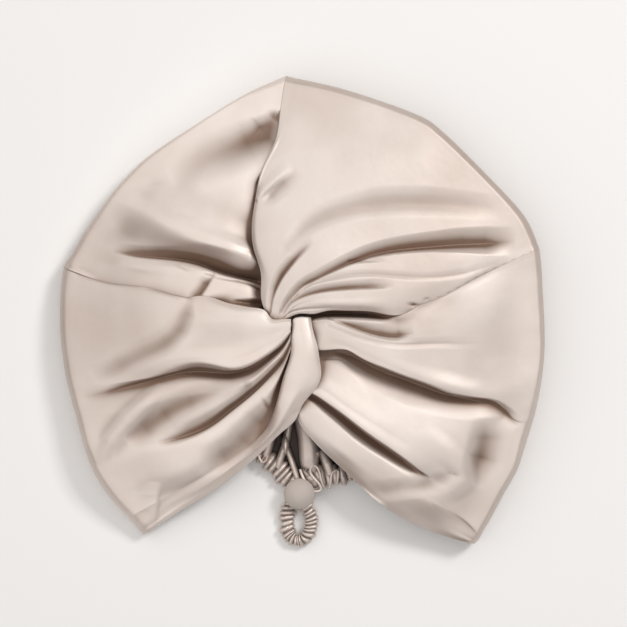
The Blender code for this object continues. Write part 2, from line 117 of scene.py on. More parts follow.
# Stitches along the right seam: the rows and the steps that they take, and their tone
STITCH_ROWS = slice(-5, -3)
STITCH_STEP = 7
STITCH_LENGTH = 3
STITCH_TONE = 0.35

# How finely the cloth is divided: the length of a step across the folds, and the steps along them
STEP_ACROSS = 0.00074
STEPS_TO_SHOULDER = 176
STEPS_OVER_RIM = 16
STEPS_UNDER_RIM = 5

# A fold starts at the twist and runs over its stations to its tip on the outline. Each station is a place in
# the camera's picture, across and down, with its height in millimetres. A sharp fold is a crease, where the
# cloth turns at once.
SOFT, SHARP = False, True
Fold = namedtuple("Fold", "name turn stations tip")


def folds(*rows):
    """Name the columns of a table of folds."""
    return [Fold(*row) for row in rows]


# Right half of the crown, from its free edge on the left to its side seam
CROWN_RIGHT = folds(
    ("free_edge", SOFT, (
        (270, 322, 43), (261, 297, 43), (261, 275, 43.5), (254, 250, 43), (252, 222, 41.5),
        (256, 195, 39.5), (263, 165, 38), (276, 137, 36.5), (280, 110, 35)), (287, 77)),
    ("edge_roll", SOFT, (
        (271, 321, 44), (265, 297, 45), (265, 275, 45.5), (258, 250, 45), (256, 222, 43.5),
        (260, 195, 41.5), (268, 165, 39.5), (281, 137, 37.5), (286, 112, 35.5)), (294, 79)),
    ("front", SOFT, (
        (273, 321, 44.5), (272, 300, 46.5), (275, 275, 47.5), (280, 245, 46), (292, 200, 43),
        (308, 160, 39.5), (325, 122, 35.5)), (345, 91)),
    ("top", SOFT, (
        (275, 321, 45), (279, 300, 47), (289, 275, 48.5), (308, 240, 46.5), (336, 202, 43),
        (372, 168, 39.5), (402, 144, 35.5)), (423, 119)),
    ("corner", SOFT, (
        (276, 321, 45), (282, 300, 47.5), (294, 276, 48.5), (318, 242, 46.5), (352, 205, 43),
        (394, 172, 39), (425, 149, 35.5)), (441, 132)),
    ("shoulder", SOFT, (
        (277, 321, 45), (285, 300, 47.5), (300, 279, 48.5), (330, 252, 47), (375, 225, 43.5),
        (430, 200, 38.5), (468, 186, 34.5)), (490, 180)),
    ("upper_puff", SOFT, (
        (279, 320.5, 45.5), (288, 300, 47.5), (306, 282, 48.5), (345, 262, 47.5), (400, 244, 44),
        (460, 230, 39), (500, 221, 34.5)), (522, 215)),
    ("lower_puff", SOFT, (
        (281, 320, 45.5), (292, 302, 48), (315, 290, 49), (355, 279, 48.5), (410, 268, 46), (470, 252, 41),
        (508, 243, 35)), (534, 238)),
    ("rim_ridge", SOFT, (
        (283, 319.5, 46), (296, 304, 48), (325, 298, 49.5), (370, 296, 49), (420, 287, 46.5),
        (470, 269, 41.5), (510, 253, 35)), (536, 244)),
    ("rim_crest", SOFT, (
        (284, 320, 46), (292, 311, 48), (302, 307, 49), (320, 305, 49.5), (345, 305, 49.5),
        (378, 306, 48.5), (402, 307, 46.5), (418, 302, 45.5), (442, 292, 44), (472, 277, 41),
        (502, 262, 36)), (537, 246)),
    ("side_seam", SOFT, (
        (285, 321, 44.5), (293, 315.5, 46.5), (302, 313.5, 47), (313, 314, 47), (326, 311, 47),
        (345, 310.5, 47), (375, 312, 46.5), (400, 315, 45), (415, 308, 44.5), (440, 298, 43.5),
        (470, 282, 40.5), (500, 267, 36)), (538, 249)),
)

# Left lobe, from the edge of its flap and its side seam, over the tongue, to its hem
WRAP_LEFT = folds(
    ("flap_edge", SOFT, (
        (291, 319, 47), (281, 319, 46.5), (272, 318.5, 46), (266, 311.5, 46), (252, 307.5, 45),
        (240, 305.5, 43.5), (228, 303, 42), (214, 298, 40.5), (203, 295.5, 39.5), (188, 297, 38),
        (160, 291, 36), (138, 286, 34.5), (110, 283, 31)), (64.5, 267)),
    ("flap_roll", SOFT, (
        (291, 321, 48.5), (281, 321.5, 48.5), (271, 321.5, 48), (262, 314, 47.5), (240, 309.5, 46),
        (215, 303, 43), (190, 301, 40), (160, 295, 38), (135, 291, 36), (110, 287, 32.5)), (63, 275)),
    ("flap_middle", SOFT, (
        (291, 323, 49), (276, 325.5, 49), (250, 322, 48), (220, 320, 45.5), (190, 322, 42), (150, 321, 39),
        (110, 318, 34)), (61, 303)),
    ("flap_low", SOFT, (
        (291, 326, 49), (277, 332.5, 48), (255, 337, 46.5), (225, 342, 44), (190, 345, 41.5),
        (150, 348, 38.5), (108, 350, 34)), (62, 342)),
    ("bulge", SOFT, (
        (290.5, 329, 48.5), (279, 339, 47.5), (262, 348, 46.3), (240, 356, 46), (215, 358.5, 45.3),
        (185, 359, 42), (150, 365, 38.5), (108, 373, 33)), (67, 378)),
    ("bulge_lip", SOFT, (
        (290.5, 331.5, 48), (281, 343.5, 46.5), (264, 356.5, 46), (247, 366, 45.8), (231, 369.5, 45.4),
        (214, 367, 44), (196, 365, 41.5), (160, 373, 38), (112, 385, 33.5)), (71, 394)),
    ("first_crease", SHARP, (
        (290.5, 333, 45), (281.5, 346, 40), (264, 358, 36), (246, 367.5, 33), (231, 370.5, 32),
        (213, 370, 32.5), (195, 369, 33), (160, 378, 34.5), (113, 392, 32.5)), (74, 406)),
    ("second_top", SOFT, (
        (290.5, 335, 45.5), (282, 349, 42.5), (267, 362, 40), (251, 373, 37.5), (234, 379.5, 36.5),
        (213, 381, 36), (190, 382, 36), (155, 391, 36.5), (118, 399, 34)), (78, 419)),
    ("second_slope", SOFT, (
        (290.5, 339, 45.5), (281, 355, 43.5), (265, 371, 41), (248, 386, 39), (229, 398, 37.5),
        (207, 408, 36.5), (183, 414, 36), (154, 418, 35.5), (122, 424, 33)), (84, 443)),
    ("second_crease", SHARP, (
        (290.5, 344, 43.5), (281, 362, 39), (264, 381, 35.5), (247, 396.5, 33), (231, 409, 31),
        (211, 424.5, 30.5), (190, 434, 30.5), (165, 441, 31.5), (134, 447, 31.5)), (90, 461)),
    ("third_top", SOFT, (
        (290.5, 347, 44.5), (282, 365, 40.5), (266, 385, 37.5), (250, 401, 35.5), (234, 414.5, 34),
        (214, 430.5, 33), (191, 441, 32.5), (164, 449, 32.5), (136, 456, 31)), (96, 475)),
    ("third_slope", SOFT, (
        (290.5, 350, 44), (283.5, 369, 40.5), (272, 390, 38), (256, 409, 36), (241, 425, 34.5),
        (220, 445, 32.5), (195, 462, 30), (165, 477, 27.5), (140, 487, 24.5)), (112, 499)),
    ("tongue_crease", SHARP, (
        (291, 340, 39), (290.5, 354, 35.5), (285.5, 370, 34), (280, 390, 33), (274.5, 411, 32),
        (267, 427, 31.5), (253, 442, 31), (232, 458, 28), (206, 475, 24), (174, 493, 19)), (128, 517)),
    ("tongue_edge", SOFT, (
        (292.5, 320, 45), (292.5, 335, 46.3), (293.5, 352, 46.6), (288.5, 369, 45.5), (282.5, 390, 43.5),
        (276.5, 411, 41), (269, 430, 37), (256, 446, 32.5), (235, 463, 28), (208, 481, 23),
        (175, 500, 17.5)), (134, 524)),
    ("tongue_ridge", SOFT, (
        (299, 317, 45.5), (302, 335, 47.4), (305, 352, 47.8), (302, 371, 46.9), (295, 392, 44.8),
        (286, 413, 42), (273, 432, 37.5), (256, 449, 32.5), (233, 467, 27), (206, 486, 21.5),
        (176, 503, 16.5)), (138.5, 529.5)),
    ("tongue_roll", SOFT, (
        (307, 317, 45), (309, 332, 46.8), (313, 350, 47), (315.5, 366, 45.8), (315.5, 379, 44),
        (308, 391, 42.5), (300, 402, 40), (291, 416, 37), (279, 430, 34), (260, 449, 30), (237, 467, 25.5),
        (210, 487, 20.5), (178, 507, 15.5)), (141.5, 533)),
    ("hem", SOFT, (
        (311, 317, 42.5), (313, 330, 44.8), (317.5, 346, 45.2), (320, 362, 44), (321, 377, 42.5),
        (314, 391, 40), (303, 404.5, 37), (296, 419, 34), (283, 431.5, 31), (262, 452, 27),
        (240, 471, 22.5), (212, 492, 18), (180, 511.5, 13)), (143, 535)),
)

# Left half of the crown, between its centre seam and its side seam, which follow the panels that lap over it
CROWN_LEFT = folds(
    ("front", SOFT, (
        (262, 205, 33), (254, 192, 35), (249, 172, 36), (250, 150, 36), (251, 125, 34.5)), (250, 94)),
    ("top", SOFT, (
        (263, 222, 34), (250, 210, 36), (232, 190, 37), (212, 165, 36), (202, 146, 34.5)), (196, 126)),
    ("shoulder", SOFT, (
        (264, 238, 34), (250, 228, 36), (228, 212, 36.5), (200, 196, 35.5), (176, 180, 34.5)), (148, 158)),
    ("light_slope", SOFT, (
        (264, 247, 34.5), (248, 239, 37.5), (222, 227, 38.8), (190, 215, 38.3), (158, 200, 37),
        (140, 188, 35)), (124, 181)),
    ("ridge", SOFT, (
        (264, 256, 35), (246, 249.5, 41), (222, 242, 42.2), (190, 233, 41.6), (160, 222, 40),
        (136, 209, 37)), (109, 199)),
    ("brow", SOFT, (
        (264, 267, 35), (246, 260, 40), (225, 252, 41.5), (200, 246, 40.8), (170, 243, 38.2),
        (140, 239, 34), (116, 232, 29.5)), (93, 221)),
    ("deep_valley", SHARP, (
        (264, 284, 27), (254, 281, 26), (240, 277.5, 26.5), (220, 272, 28), (200, 263.5, 30),
        (175, 258.5, 31.5), (145, 256, 31.5), (115, 251, 29)), (84, 234)),
    ("small_ridge", SOFT, (
        (265, 287, 32), (247, 281.5, 33.5), (225, 277, 35), (200, 270, 35.5), (170, 268, 35.5),
        (140, 267, 33.5), (110, 261, 29)), (75, 250)),
    ("puff", SOFT, (
        (268, 296, 33), (252, 291, 35.5), (232, 287, 37), (210, 284, 36.5), (180, 280, 36), (145, 275, 34),
        (110, 268, 29.5)), (69, 259)),
)

# Right lobe, below its side seam, with its two lap folds, down to its hem
WRAP_RIGHT = folds(
    ("slit_floor", SHARP, (
        (303, 316, 36), (322, 313.5, 33), (345, 313.5, 32), (372, 315, 35), (398, 316.5, 44.4),
        (417, 309.5, 44.5), (442, 299.5, 43.5), (472, 284, 40.5), (502, 269, 36)), (538.5, 253)),
    ("slit_ridge", SOFT, (
        (303, 321, 40), (322, 318, 41), (345, 318, 42), (372, 319.5, 42.5), (400, 321, 44), (420, 315, 45),
        (445, 305, 43.5), (475, 290, 41), (505, 276, 36)), (539.5, 262)),
    ("upper_puff", SOFT, (
        (303, 326, 41), (325, 323, 43), (350, 326, 44.5), (385, 330, 45.5), (415, 329, 46), (450, 323, 44),
        (490, 311, 40), (513, 303, 35.5)), (541.5, 292)),
    ("broad_ridge", SOFT, (
        (302, 334, 40.5), (322, 335, 43.5), (345, 340, 46), (375, 350, 47), (415, 362, 46), (455, 371, 43),
        (498, 378, 36.5)), (543, 352)),
    ("lap_brow", SOFT, (
        (302, 343, 40.5), (322, 344.5, 43.5), (345, 346, 45.5), (360, 352.5, 46.5), (385, 363, 46.6),
        (430, 381, 46), (465, 391, 43), (502, 397, 36)), (539, 389)),
    ("lap_lip", SOFT, (
        (302, 346, 39.5), (319, 350, 42.5), (332, 349.5, 44.5), (348, 350.5, 45.5), (359, 357, 45.8),
        (381, 367, 45.6), (401, 375, 45.2), (431, 386, 44.2), (461, 397, 41.2), (481, 398.5, 39),
        (500, 404, 35), (516, 415, 31)), (535, 409)),
    ("lap_tuck", SOFT, (
        (302, 348, 38), (319, 347, 36), (332, 345.5, 35), (348, 346, 34.5), (361, 352, 34.5),
        (383, 362, 34), (403, 370, 33.5), (433, 381, 33.5), (463, 392, 34), (483, 396, 34.5),
        (501, 406, 33.4), (515, 422, 31.2)), (531, 424)),
    ("lap_floor", SOFT, (
        (302, 353, 38), (320, 357, 35.5), (340, 358, 34.8), (356, 361, 34.5), (372, 368, 34.5),
        (388, 376, 34.5), (410, 385, 34.6), (440, 396, 34.8), (468, 403, 35), (490, 408, 34),
        (508, 430, 31)), (527, 437)),
    ("lap_rise", SOFT, (
        (302, 360, 37.5), (320, 362, 36.5), (340, 362.5, 35.5), (350, 367, 35), (362, 376, 35),
        (380, 384, 35), (400, 393, 35.3), (430, 403, 35.5), (460, 410, 35.5), (485, 417, 34.5),
        (503, 437, 31)), (523, 450)),
    ("puff", SOFT, (
        (303, 372, 38), (320, 374, 38), (345, 384, 37.5), (375, 398, 37.5), (410, 412, 38),
        (445, 424, 36.8), (480, 436, 34.5), (500, 451, 30.5)), (517, 468)),
    ("low_ridge", SOFT, (
        (304, 384, 38), (318, 387, 39), (335, 397, 40), (355, 411, 41), (380, 426, 41.5), (405, 441, 41),
        (435, 456, 38), (465, 471, 33), (486, 482, 28.5)), (504, 492)),
    ("crease_lip", SOFT, (
        (306, 391, 37), (314, 394.5, 38.5), (331, 406, 40), (346, 417.5, 41), (361, 429.5, 41.5),
        (381, 443.5, 41.5), (401, 457, 40.5), (416, 468, 38), (430, 475, 34.5), (452, 485, 31.5),
        (475, 496, 27.5)), (496, 507)),
    ("crease_tuck", SOFT, (
        (306, 389, 34), (315, 392.5, 32.5), (332, 403.5, 32), (347, 415, 31.5), (362, 427, 31.5),
        (382, 441, 32), (402, 454.5, 33), (417, 467.5, 33.8), (429, 479.5, 33.5), (450, 493, 30.5),
        (471, 505, 26.5)), (489, 520)),
    ("crease_floor", SOFT, (
        (305, 394, 33), (314, 398, 32), (330, 410, 32), (344, 421.5, 32), (358, 433.5, 32.5),
        (378, 448, 33), (397, 461, 33.5), (411, 474, 33.6), (426, 485, 32.8), (447, 500, 29.8),
        (467, 512, 25.5)), (484, 528.5)),
    ("crease_rise", SOFT, (
        (304, 399, 34), (312, 403, 34), (326, 416, 34), (340, 427, 34.3), (354, 440, 34.6),
        (374, 454, 34.8), (393, 467, 34.6), (408, 480, 33.6), (424, 492, 32.2), (446, 506, 29),
        (464, 518, 24.5)), (481, 534)),
    ("hem_ridge", SOFT, (
        (301, 405, 34), (306, 413, 34.5), (318, 427, 34.5), (334, 442, 34.5), (352, 457, 34),
        (376, 474, 33), (400, 491, 32), (424, 502, 30.6), (447, 513, 27.5), (463, 523, 23)), (479, 538)),
    ("hem_roll", SOFT, (
        (298, 410, 33.5), (301, 418.5, 33.5), (311, 431.5, 33), (325, 445, 32.5), (342, 460, 31.5),
        (359, 475, 30.8), (381, 494, 29), (405, 509, 27), (438, 524, 22.5)), (477, 541)),
    ("hem", SOFT, (
        (296, 413, 31), (298.5, 421.5, 31), (308, 435, 30.5), (321, 449, 29.5), (337, 464, 28.5),
        (354, 480, 27.8), (377, 501.5, 26), (401, 517.5, 23.5), (436, 533.5, 18.5)), (475, 543)),
)

# The edge of an under panel starts at a share of the seam's way and joins the edge over it at another. Until
# then it lies to the left, 1, or to the right, -1, of that edge.
Tuck = namedtuple("Tuck", "start join side")
LEFT_SEAM_TUCK = Tuck(0.16, 0.42, -1)
CENTRE_SEAM_TUCK = Tuck(0.48, 0.62, 1)
RIGHT_SEAM_TUCK = Tuck(0.14, 0.46, -1)

# Creases and ridges pressed into a panel. The path is (across, down) in steps of the camera's picture, with
# the depth in millimetres at each place, less than nothing for a ridge, and the widths, in millimetres, over
# which the cloth comes level again on the left and on the right hand of someone who walks along the path.
Crease = namedtuple("Crease", "name panel path")
CREASES = [Crease(*row) for row in (
    ("valley_by_edge", "crown_right", (
        (270, 313, 1.0, 3, 1), (272, 300, 2.0, 4, 1.2), (276, 288, 3.0, 5, 1.4), (283, 275, 3.6, 6, 1.5),
        (292, 263, 3.2, 6, 1.8), (302, 251, 1.8, 6, 2.5), (312, 241, 0.0, 6, 3))),
    ("main_valley", "crown_right", (
        (281, 312, 0.8, 2.5, 1), (287, 302, 1.3, 3, 1.2), (294, 294, 1.6, 4, 1.3),
        (302, 286, 2.0, 4.5, 1.4), (311, 281, 2.4, 5, 1.5), (330, 272, 2.8, 6, 1.4),
        (350, 263, 3.6, 7, 1.6), (370, 256, 4.4, 8, 2.0), (400, 250, 5.4, 9, 2.4),
        (430, 247, 6.0, 10, 3.2), (462, 244.5, 6.0, 11, 5.5), (486, 243.5, 4.8, 11, 7.5),
        (515, 242, 0.0, 10, 9))),
    ("branch", "crown_right", (
        (350, 262.5, 1.4, 2.5, 1.4), (366, 261, 1.4, 2.5, 1.4), (386, 260.5, 0.0, 2.5, 1.4))),
    ("thin_line", "crown_right", (
        (296, 297, 0.7, 2, 1), (303, 289.5, 0.9, 2.5, 1), (311, 284, 1.0, 3, 1.3), (325, 280, 1.0, 3, 1.6),
        (340, 277, 0.9, 3.5, 2), (360, 274.5, 0.8, 3.5, 2.2), (395, 276, 0.7, 3.5, 2.4),
        (430, 277.5, 0.6, 3.5, 2.6), (462, 274, 0.5, 4, 3), (500, 262, 0.0, 4, 3))),
    ("low_valley", "crown_right", (
        (284, 313, 0.6, 2, 1), (290, 304, 1.3, 2.5, 1.1), (300, 297.5, 1.9, 3, 1.2),
        (320, 291.5, 2.6, 4.5, 1.4), (345, 288.5, 2.8, 5, 1.5), (370, 287, 2.2, 5.5, 1.8),
        (394, 286, 0.0, 5, 2))),
    ("rim_groove", "crown_right", (
        (284, 318, 0.8, 1.2, 0.9), (290, 313, 1.0, 1.2, 0.9), (300, 310, 1.0, 1.2, 0.9),
        (311, 309, 0.8, 1.4, 1), (335, 307.5, 0.0, 1.5, 1))),
    ("soft_valley", "crown_right", (
        (288, 247, 0.6, 7, 7), (305, 227, 1.2, 8, 8), (330, 214, 1.6, 10, 9), (370, 205, 1.8, 12, 10),
        (420, 203, 1.8, 12, 10), (465, 206, 1.2, 11, 9), (502, 210, 0.0, 9, 8))),
    ("seam_fold", "crown_right", (
        (257, 199, -1.2, 3, 2.5), (265, 189, -1.3, 5, 3.5), (276, 179, -1.1, 6, 5),
        (292, 167, 0.0, 7, 6))),
    ("seam_valley", "crown_right", (
        (261, 205, 0.0, 3, 5), (271, 195, 1.5, 4, 7), (283, 183, 1.5, 5, 8), (298, 170, 0.0, 6, 8))),
    ("seam_strip", "crown_right", (
        (281, 132, 0.0, 1.4, 1.4), (274, 148, -0.9, 1.4, 1.4), (266, 163, -1.0, 1.4, 1.4),
        (260, 178, -1.0, 1.4, 1.4), (257, 192, 0.0, 1.4, 1.4))),
    ("dimple", "crown_right", (
        (409, 304, 0.5, 1.8, 1.8), (413, 305, 1.7, 2.2, 2.2), (417, 305, 0.5, 1.8, 1.8))),
    ("small_dimple", "crown_right", (
        (424, 300, 0.2, 1.8, 1.8), (427, 299, 0.6, 2, 2), (430, 299, 0.2, 1.8, 1.8))),
    ("seam_dent", "crown_left", (
        (272, 120, 3.0, 11, 8), (262, 131, 5.6, 17, 13), (246, 141, 5.2, 20, 16), (226, 150, 3.8, 21, 17),
        (202, 161, 2.2, 20, 17), (170, 178, 0.0, 16, 14))),
    ("valley_slope", "crown_left", (
        (112, 251, 0.0, 6, 1.5), (140, 256, 1.6, 7, 1.5), (170, 258.5, 2.6, 8, 1.5),
        (198, 264, 3.2, 9, 1.5), (220, 272, 3.4, 10, 1.5), (240, 277.5, 3.4, 11, 1.5),
        (256, 281, 3.4, 12, 1.5))),
    ("plateau_ridge", "crown_left", (
        (138, 162, 0.0, 14, 14), (132, 188, -0.8, 20, 20), (144, 209, -1.5, 26, 22),
        (168, 224, -2.1, 28, 19), (200, 238, -2.0, 24, 15), (230, 249, -1.0, 16, 10),
        (248, 256, 0.0, 10, 7))),
    ("seam_shadow", "crown_left", (
        (257, 200, 0.0, 6, 16), (254, 222, 1.0, 6, 18), (252, 242, 1.1, 7, 18), (257, 262, 0.0, 6, 14))),
    ("corner_fold", "crown_left", ((66, 268, -1.2, 4, 2), (80, 274, -1.0, 4, 2), (98, 281, 0.0, 4, 2))),
    ("crescent", "crown_left", (
        (174, 262, 0.0, 4, 2.4), (184, 268, 1.0, 4, 2.4), (198, 271, 0.0, 4, 2.4))),
    ("puff_side", "crown_left", ((213, 275, 1.0, 1.6, 5), (206, 285, 3.0, 2.0, 7), (198, 296, 2.4, 3, 7))),
    ("low_crease", "crown_left", (
        (205, 275, 0.5, 2, 1), (228, 279.5, 1.2, 2.2, 1.1), (245, 282.5, 1.6, 2.5, 1.1),
        (260, 289, 2.0, 2.5, 1.2))),
    ("dark_hole", "crown_left", (
        (234, 301, 0.5, 2, 2), (246, 303, 4.0, 3, 2.5), (256, 304, 7.0, 4, 3), (266, 306, 8.0, 4, 4))),
    ("upper_valley", "wrap_right", (
        (328, 318, 1.0, 1.5, 1.5), (345, 323.5, 2.2, 4, 2.2), (360, 329, 3.0, 7, 2.6),
        (380, 334.5, 3.8, 10, 3), (398, 336, 3.4, 11, 4), (414, 333, 0.0, 11, 6))),
    ("thin_line", "wrap_right", (
        (328, 325, 0.5, 1.6, 1.6), (350, 333.5, 0.8, 2.4, 2.2), (370, 340, 0.9, 3.4, 2.8),
        (400, 344.5, 0.9, 4.4, 3.2), (430, 343.5, 0.7, 4.4, 3.4), (484, 345, 0.0, 5, 4))),
    ("dent", "wrap_right", (
        (486, 418, 0.0, 13, 12), (486, 438, 3.2, 16, 13), (482, 458, 3.8, 16, 13),
        (472, 484, 0.0, 13, 11))),
    ("angle_ridge", "wrap_right", (
        (418, 428, 0.0, 10, 10), (444, 448, -1.2, 10, 11), (462, 466, -1.8, 10, 11),
        (465, 477, -1.8, 10, 10), (452, 488, -1.4, 10, 10), (430, 500, 0.0, 10, 10))),
    ("under_lap", "wrap_right", (
        (334, 351, 0.0, 1, 4), (350, 354.5, 2.0, 1, 9), (372, 366, 3.2, 1.2, 14), (410, 381, 3.8, 1.2, 16),
        (448, 394.5, 3.8, 1.4, 15), (478, 401, 3.4, 2.4, 13), (494, 406, 3.4, 4.5, 12),
        (506, 415, 2.8, 6, 11), (518, 427, 0.0, 6, 9))),
    ("under_crease", "wrap_right", (
        (313, 395, 1.0, 1, 4), (332, 407.5, 2.0, 1, 6), (362, 431, 2.6, 1.2, 8), (397, 455.5, 2.6, 1.2, 8),
        (413, 467.5, 1.8, 1.4, 7), (425, 478, 0.0, 2, 4))),
    ("hem_hollow", "wrap_right", (
        (366, 493, 0.0, 8, 7), (396, 490, 1.3, 9, 8), (424, 486, 1.5, 9, 8), (452, 480, 0.0, 8, 8))),
    ("hem_fold", "wrap_right", ((358, 487, 0.0, 3, 2), (370, 498, -1.4, 3, 2), (386, 508, 0.0, 3, 2))),
    ("seam_edge", "wrap_left", (
        (136, 286, 0.0, 1.6, 1.6), (150, 287, -0.8, 1.6, 1.6), (165, 291, -0.5, 1.6, 1.6),
        (178, 296, -0.8, 1.6, 1.6), (190, 299, 0.0, 1.6, 1.6))),
    ("flap_valley", "wrap_left", (
        (189, 300, 0.6, 4, 5), (184, 314, 1.6, 8, 9), (177, 330, 2.2, 9, 11), (164, 343, 2.2, 9, 11),
        (145, 354, 1.8, 9, 11), (120, 366, 1.2, 10, 10), (94, 379, 0.0, 10, 10))),
    ("light_ridge", "wrap_left", (
        (158, 388, -0.6, 7, 6), (143, 402, -2.4, 10, 7), (126, 420, -3.2, 11, 8), (110, 441, -2.8, 10, 8),
        (96, 464, 0.0, 7, 7))),
    ("under_bulge", "wrap_left", (
        (78, 399, 0.0, 8, 10), (108, 392, 1.6, 5, 13), (150, 380.5, 3.0, 1.8, 15),
        (195, 371.5, 3.8, 1.4, 15), (231, 373, 3.8, 1.3, 11), (255, 366, 2.8, 1.2, 7),
        (276, 350, 1.2, 1, 3))),
    ("lobe_hollow", "wrap_left", (
        (242, 387, 1.2, 8, 7), (216, 393, 3.0, 11, 10), (190, 402, 4.2, 13, 13), (165, 415, 4.2, 14, 13),
        (146, 429, 2.8, 12, 11), (128, 442, 0.0, 10, 9))),
    ("second_slope", "wrap_left", (
        (281, 362, 1.0, 1, 3), (264, 381.5, 2.2, 1.2, 6), (247, 397.5, 3.4, 1.3, 10),
        (231, 410, 3.8, 1.5, 12), (211, 425, 3.6, 1.8, 13), (188, 436, 2.6, 2.6, 12),
        (156, 445, 0.0, 5, 10))),
    ("low_hollow", "wrap_left", (
        (272, 402, 0.0, 8, 9), (259, 423, 3.4, 12, 15), (244, 441, 4.4, 14, 16), (223, 455, 3.4, 14, 14),
        (198, 464, 0.0, 12, 11))),
    ("corner_crease", "wrap_left", (
        (158, 482, 0.0, 3, 12), (157, 495, -1.1, 2.2, 14), (156, 510, -1.1, 1.8, 12),
        (154, 528, 0.0, 2, 9))),
    ("tongue_nick", "wrap_left", (
        (260, 397, 0.0, 2, 2), (265, 405, 0.9, 2.5, 1.5), (269, 411, 0.0, 2, 2))),
    ("narrow_gather", "back_panel", (
        (292, 408, -8, 2.4, 2.4), (289, 425, -11, 2.5, 2.5), (286, 441, -11, 2.4, 2.4),
        (281, 456, -9.5, 2.6, 2.6), (277, 470, -7, 3, 3))),
    ("strip_gather", "back_panel", (
        (284, 438, -4.1, 2, 2), (288, 450, -8, 2.1, 2.1), (293, 464, -9, 2.1, 2.1),
        (298, 480, -8, 2.2, 2.2))),
    ("broad_gather", "back_panel", (
        (298, 408, -9, 4, 4), (304, 426, -11, 5.6, 5.6), (308, 442, -12, 6.6, 6.6),
        (309, 456, -11.5, 6.6, 6.6), (310, 468, -9, 6, 6), (311, 478, -6, 5, 5))),
    ("left_gather", "back_panel", (
        (274, 428, -6, 3, 3), (270, 440, -9, 3.4, 3.4), (265, 456, -8, 3.6, 3.6))),
    ("right_gather", "back_panel", (
        (322, 452, -6, 3, 3), (327, 463, -9, 3.8, 3.8), (331, 478, -8, 3.6, 3.6))),
    ("gather_opening", "back_panel", (
        (302, 467, 4.0, 1.3, 1.3), (308, 470, 7.0, 1.8, 1.8), (313, 474, 4.0, 1.3, 1.3))),
)]

# Back panel: its corners in thousandths of the half width and half length, the rows from the nape band to the
# outline with the share of the puff at each one, and the painted shade on its low cloth round the mouth
LEFT_BACK_HEM = ((-552, -837), (-449, -685))
RIGHT_BACK_HEM = ((471, -800), (614, -935))
BACK_HEIGHT = 0.0012
BACK_PUFF = 0.001
BACK_FADE = 0.1
BACK_ROWS = (0.0, 0.02, 0.06, 0.16, 0.30, 0.38, 1.0)
BACK_LIFTS = (0.6, 0.9, 1.0, 0.6, 0.2, 0.0, 0.0)
BACK_STEPS = (5, 9, 20, 14, 4, 4)
BACK_LIGHT_HEIGHT = 0.009
BACK_SHADE = 1.25
MOUTH_MIDDLE = (302.0, 440.0)
MOUTH_REACH = 0.045

# Gathered tubes: the middle line is (across, down) in steps of the camera's picture, with the width and the
# height in millimetres. Dice thrown from the seed place the pleats, and their depth is in metres. A pleat
# reaches out past the tube's own width when its throw is above the level one.
Ruche = namedtuple("Ruche", "name line seed pleats spread depth slant rings sides")
NAPE_BAND = Ruche(
    "nape_band_gathers",
    (
        (225, 433, 10, 7), (250, 446, 10, 7), (264, 455, 12, 8), (273, 463, 14, 9), (280, 471, 14, 9),
        (288, 480, 13, 9), (299, 485, 11, 8), (311, 480, 14, 9), (320, 476, 15, 10), (331, 475, 14, 10),
        (350, 474, 11, 8), (375, 466, 9, 7),
    ),
    seed=4, pleats=27, spread=0.6, depth=0.0038, slant=0.2, rings=520, sides=40,
)
BUTTON_LOOP = Ruche(
    "button_loop_gathers",
    (
        (294, 496, 8, 6), (289.5, 507, 9.5, 7), (287.8, 516, 10.3, 7), (287.5, 526, 10.3, 7),
        (290, 535, 9.5, 7), (296, 540, 8.5, 7), (303, 540, 8, 7), (308.5, 534, 8.5, 7), (311, 526, 9, 7),
        (310.5, 516, 9, 7), (307.5, 507, 8, 7), (304, 496, 7, 6),
    ),
    seed=9, pleats=23, spread=0.5, depth=0.0030, slant=0.35, rings=400, sides=36,
)
BAND_MIDDLE = 0.004
WEAKEST_PLEAT = 0.6
PLEAT_REACH = 0.42
LEVEL_WIDTH, LEVEL_HEIGHT = 0.4, 0.5
PLEAT_DROP = 0.8
# Painted shade in the valleys between pleats, and how fast it falls off towards the crests
PLEAT_SHADE = 0.95
PLEAT_SHADE_POWER = 0.8
CLOTH_ROUND = 0.003

# Button
BUTTON_PLACE = (299.4, 494)
BUTTON_FOOT = 0.0088
BUTTON_FACE = 0.012
BUTTON_DIAMETER = 0.0198
BUTTON_WALL = 0.00336
BUTTON_DOME = ((0.0004, 0.0005), (0.0020, 0.0016), (0.0030, 0.0014), (0.0020, 0.0004))

# Flat cut of each satin panel, front layer with its turned-under edge: width, length and area, in metres
Cut = namedtuple("Cut", "width length area")
FLAT_CUTS = {
    "crown_left": Cut(0.17, 0.17, 0.019),
    "crown_right": Cut(0.21, 0.20, 0.030),
    "wrap_left": Cut(0.18, 0.22, 0.028),
    "wrap_right": Cut(0.19, 0.23, 0.030),
    "back_panel": Cut(0.31, 0.30, 0.064),
}

# Frills that stand up from the nape band's gathers. The line is (across, down) in steps of the camera's
# picture, with the heights of the frill's foot and top in millimetres.
FRILL_STEPS = 60
FRILL_ROWS = 9
FRILL_THICK = 0.0010
FRILL_EDGE = 0.6
# Painted shade at a frill's foot, fading towards its top
FRILL_SHADE = 0.6
FRILL_MIDDLE = 0.008
FRILLS = (
    ("right_frill", (
        (300, 469, 6, 10), (303, 477, 6, 11.5), (308, 485, 6, 12), (315, 491, 5, 11), (321, 489, 5, 11),
        (318, 482, 6, 12), (312, 475, 6, 12), (310.5, 469, 6, 12), (314, 465, 6, 11.5),
        (318.5, 469, 6, 12), (321, 478, 6, 12), (324, 487, 4, 10))),
    ("small_frill", (
        (329, 489, 3, 9), (331, 480, 5, 11), (333, 472, 5, 11), (337, 470, 5, 10.5), (338, 477, 4, 9.5),
        (337, 484, 3, 8))),
    ("left_frill", (
        (257, 450, 3, 8), (259, 457, 5, 9.5), (263, 462, 5, 10), (267, 457, 5, 10), (265, 451, 4, 9))),
)


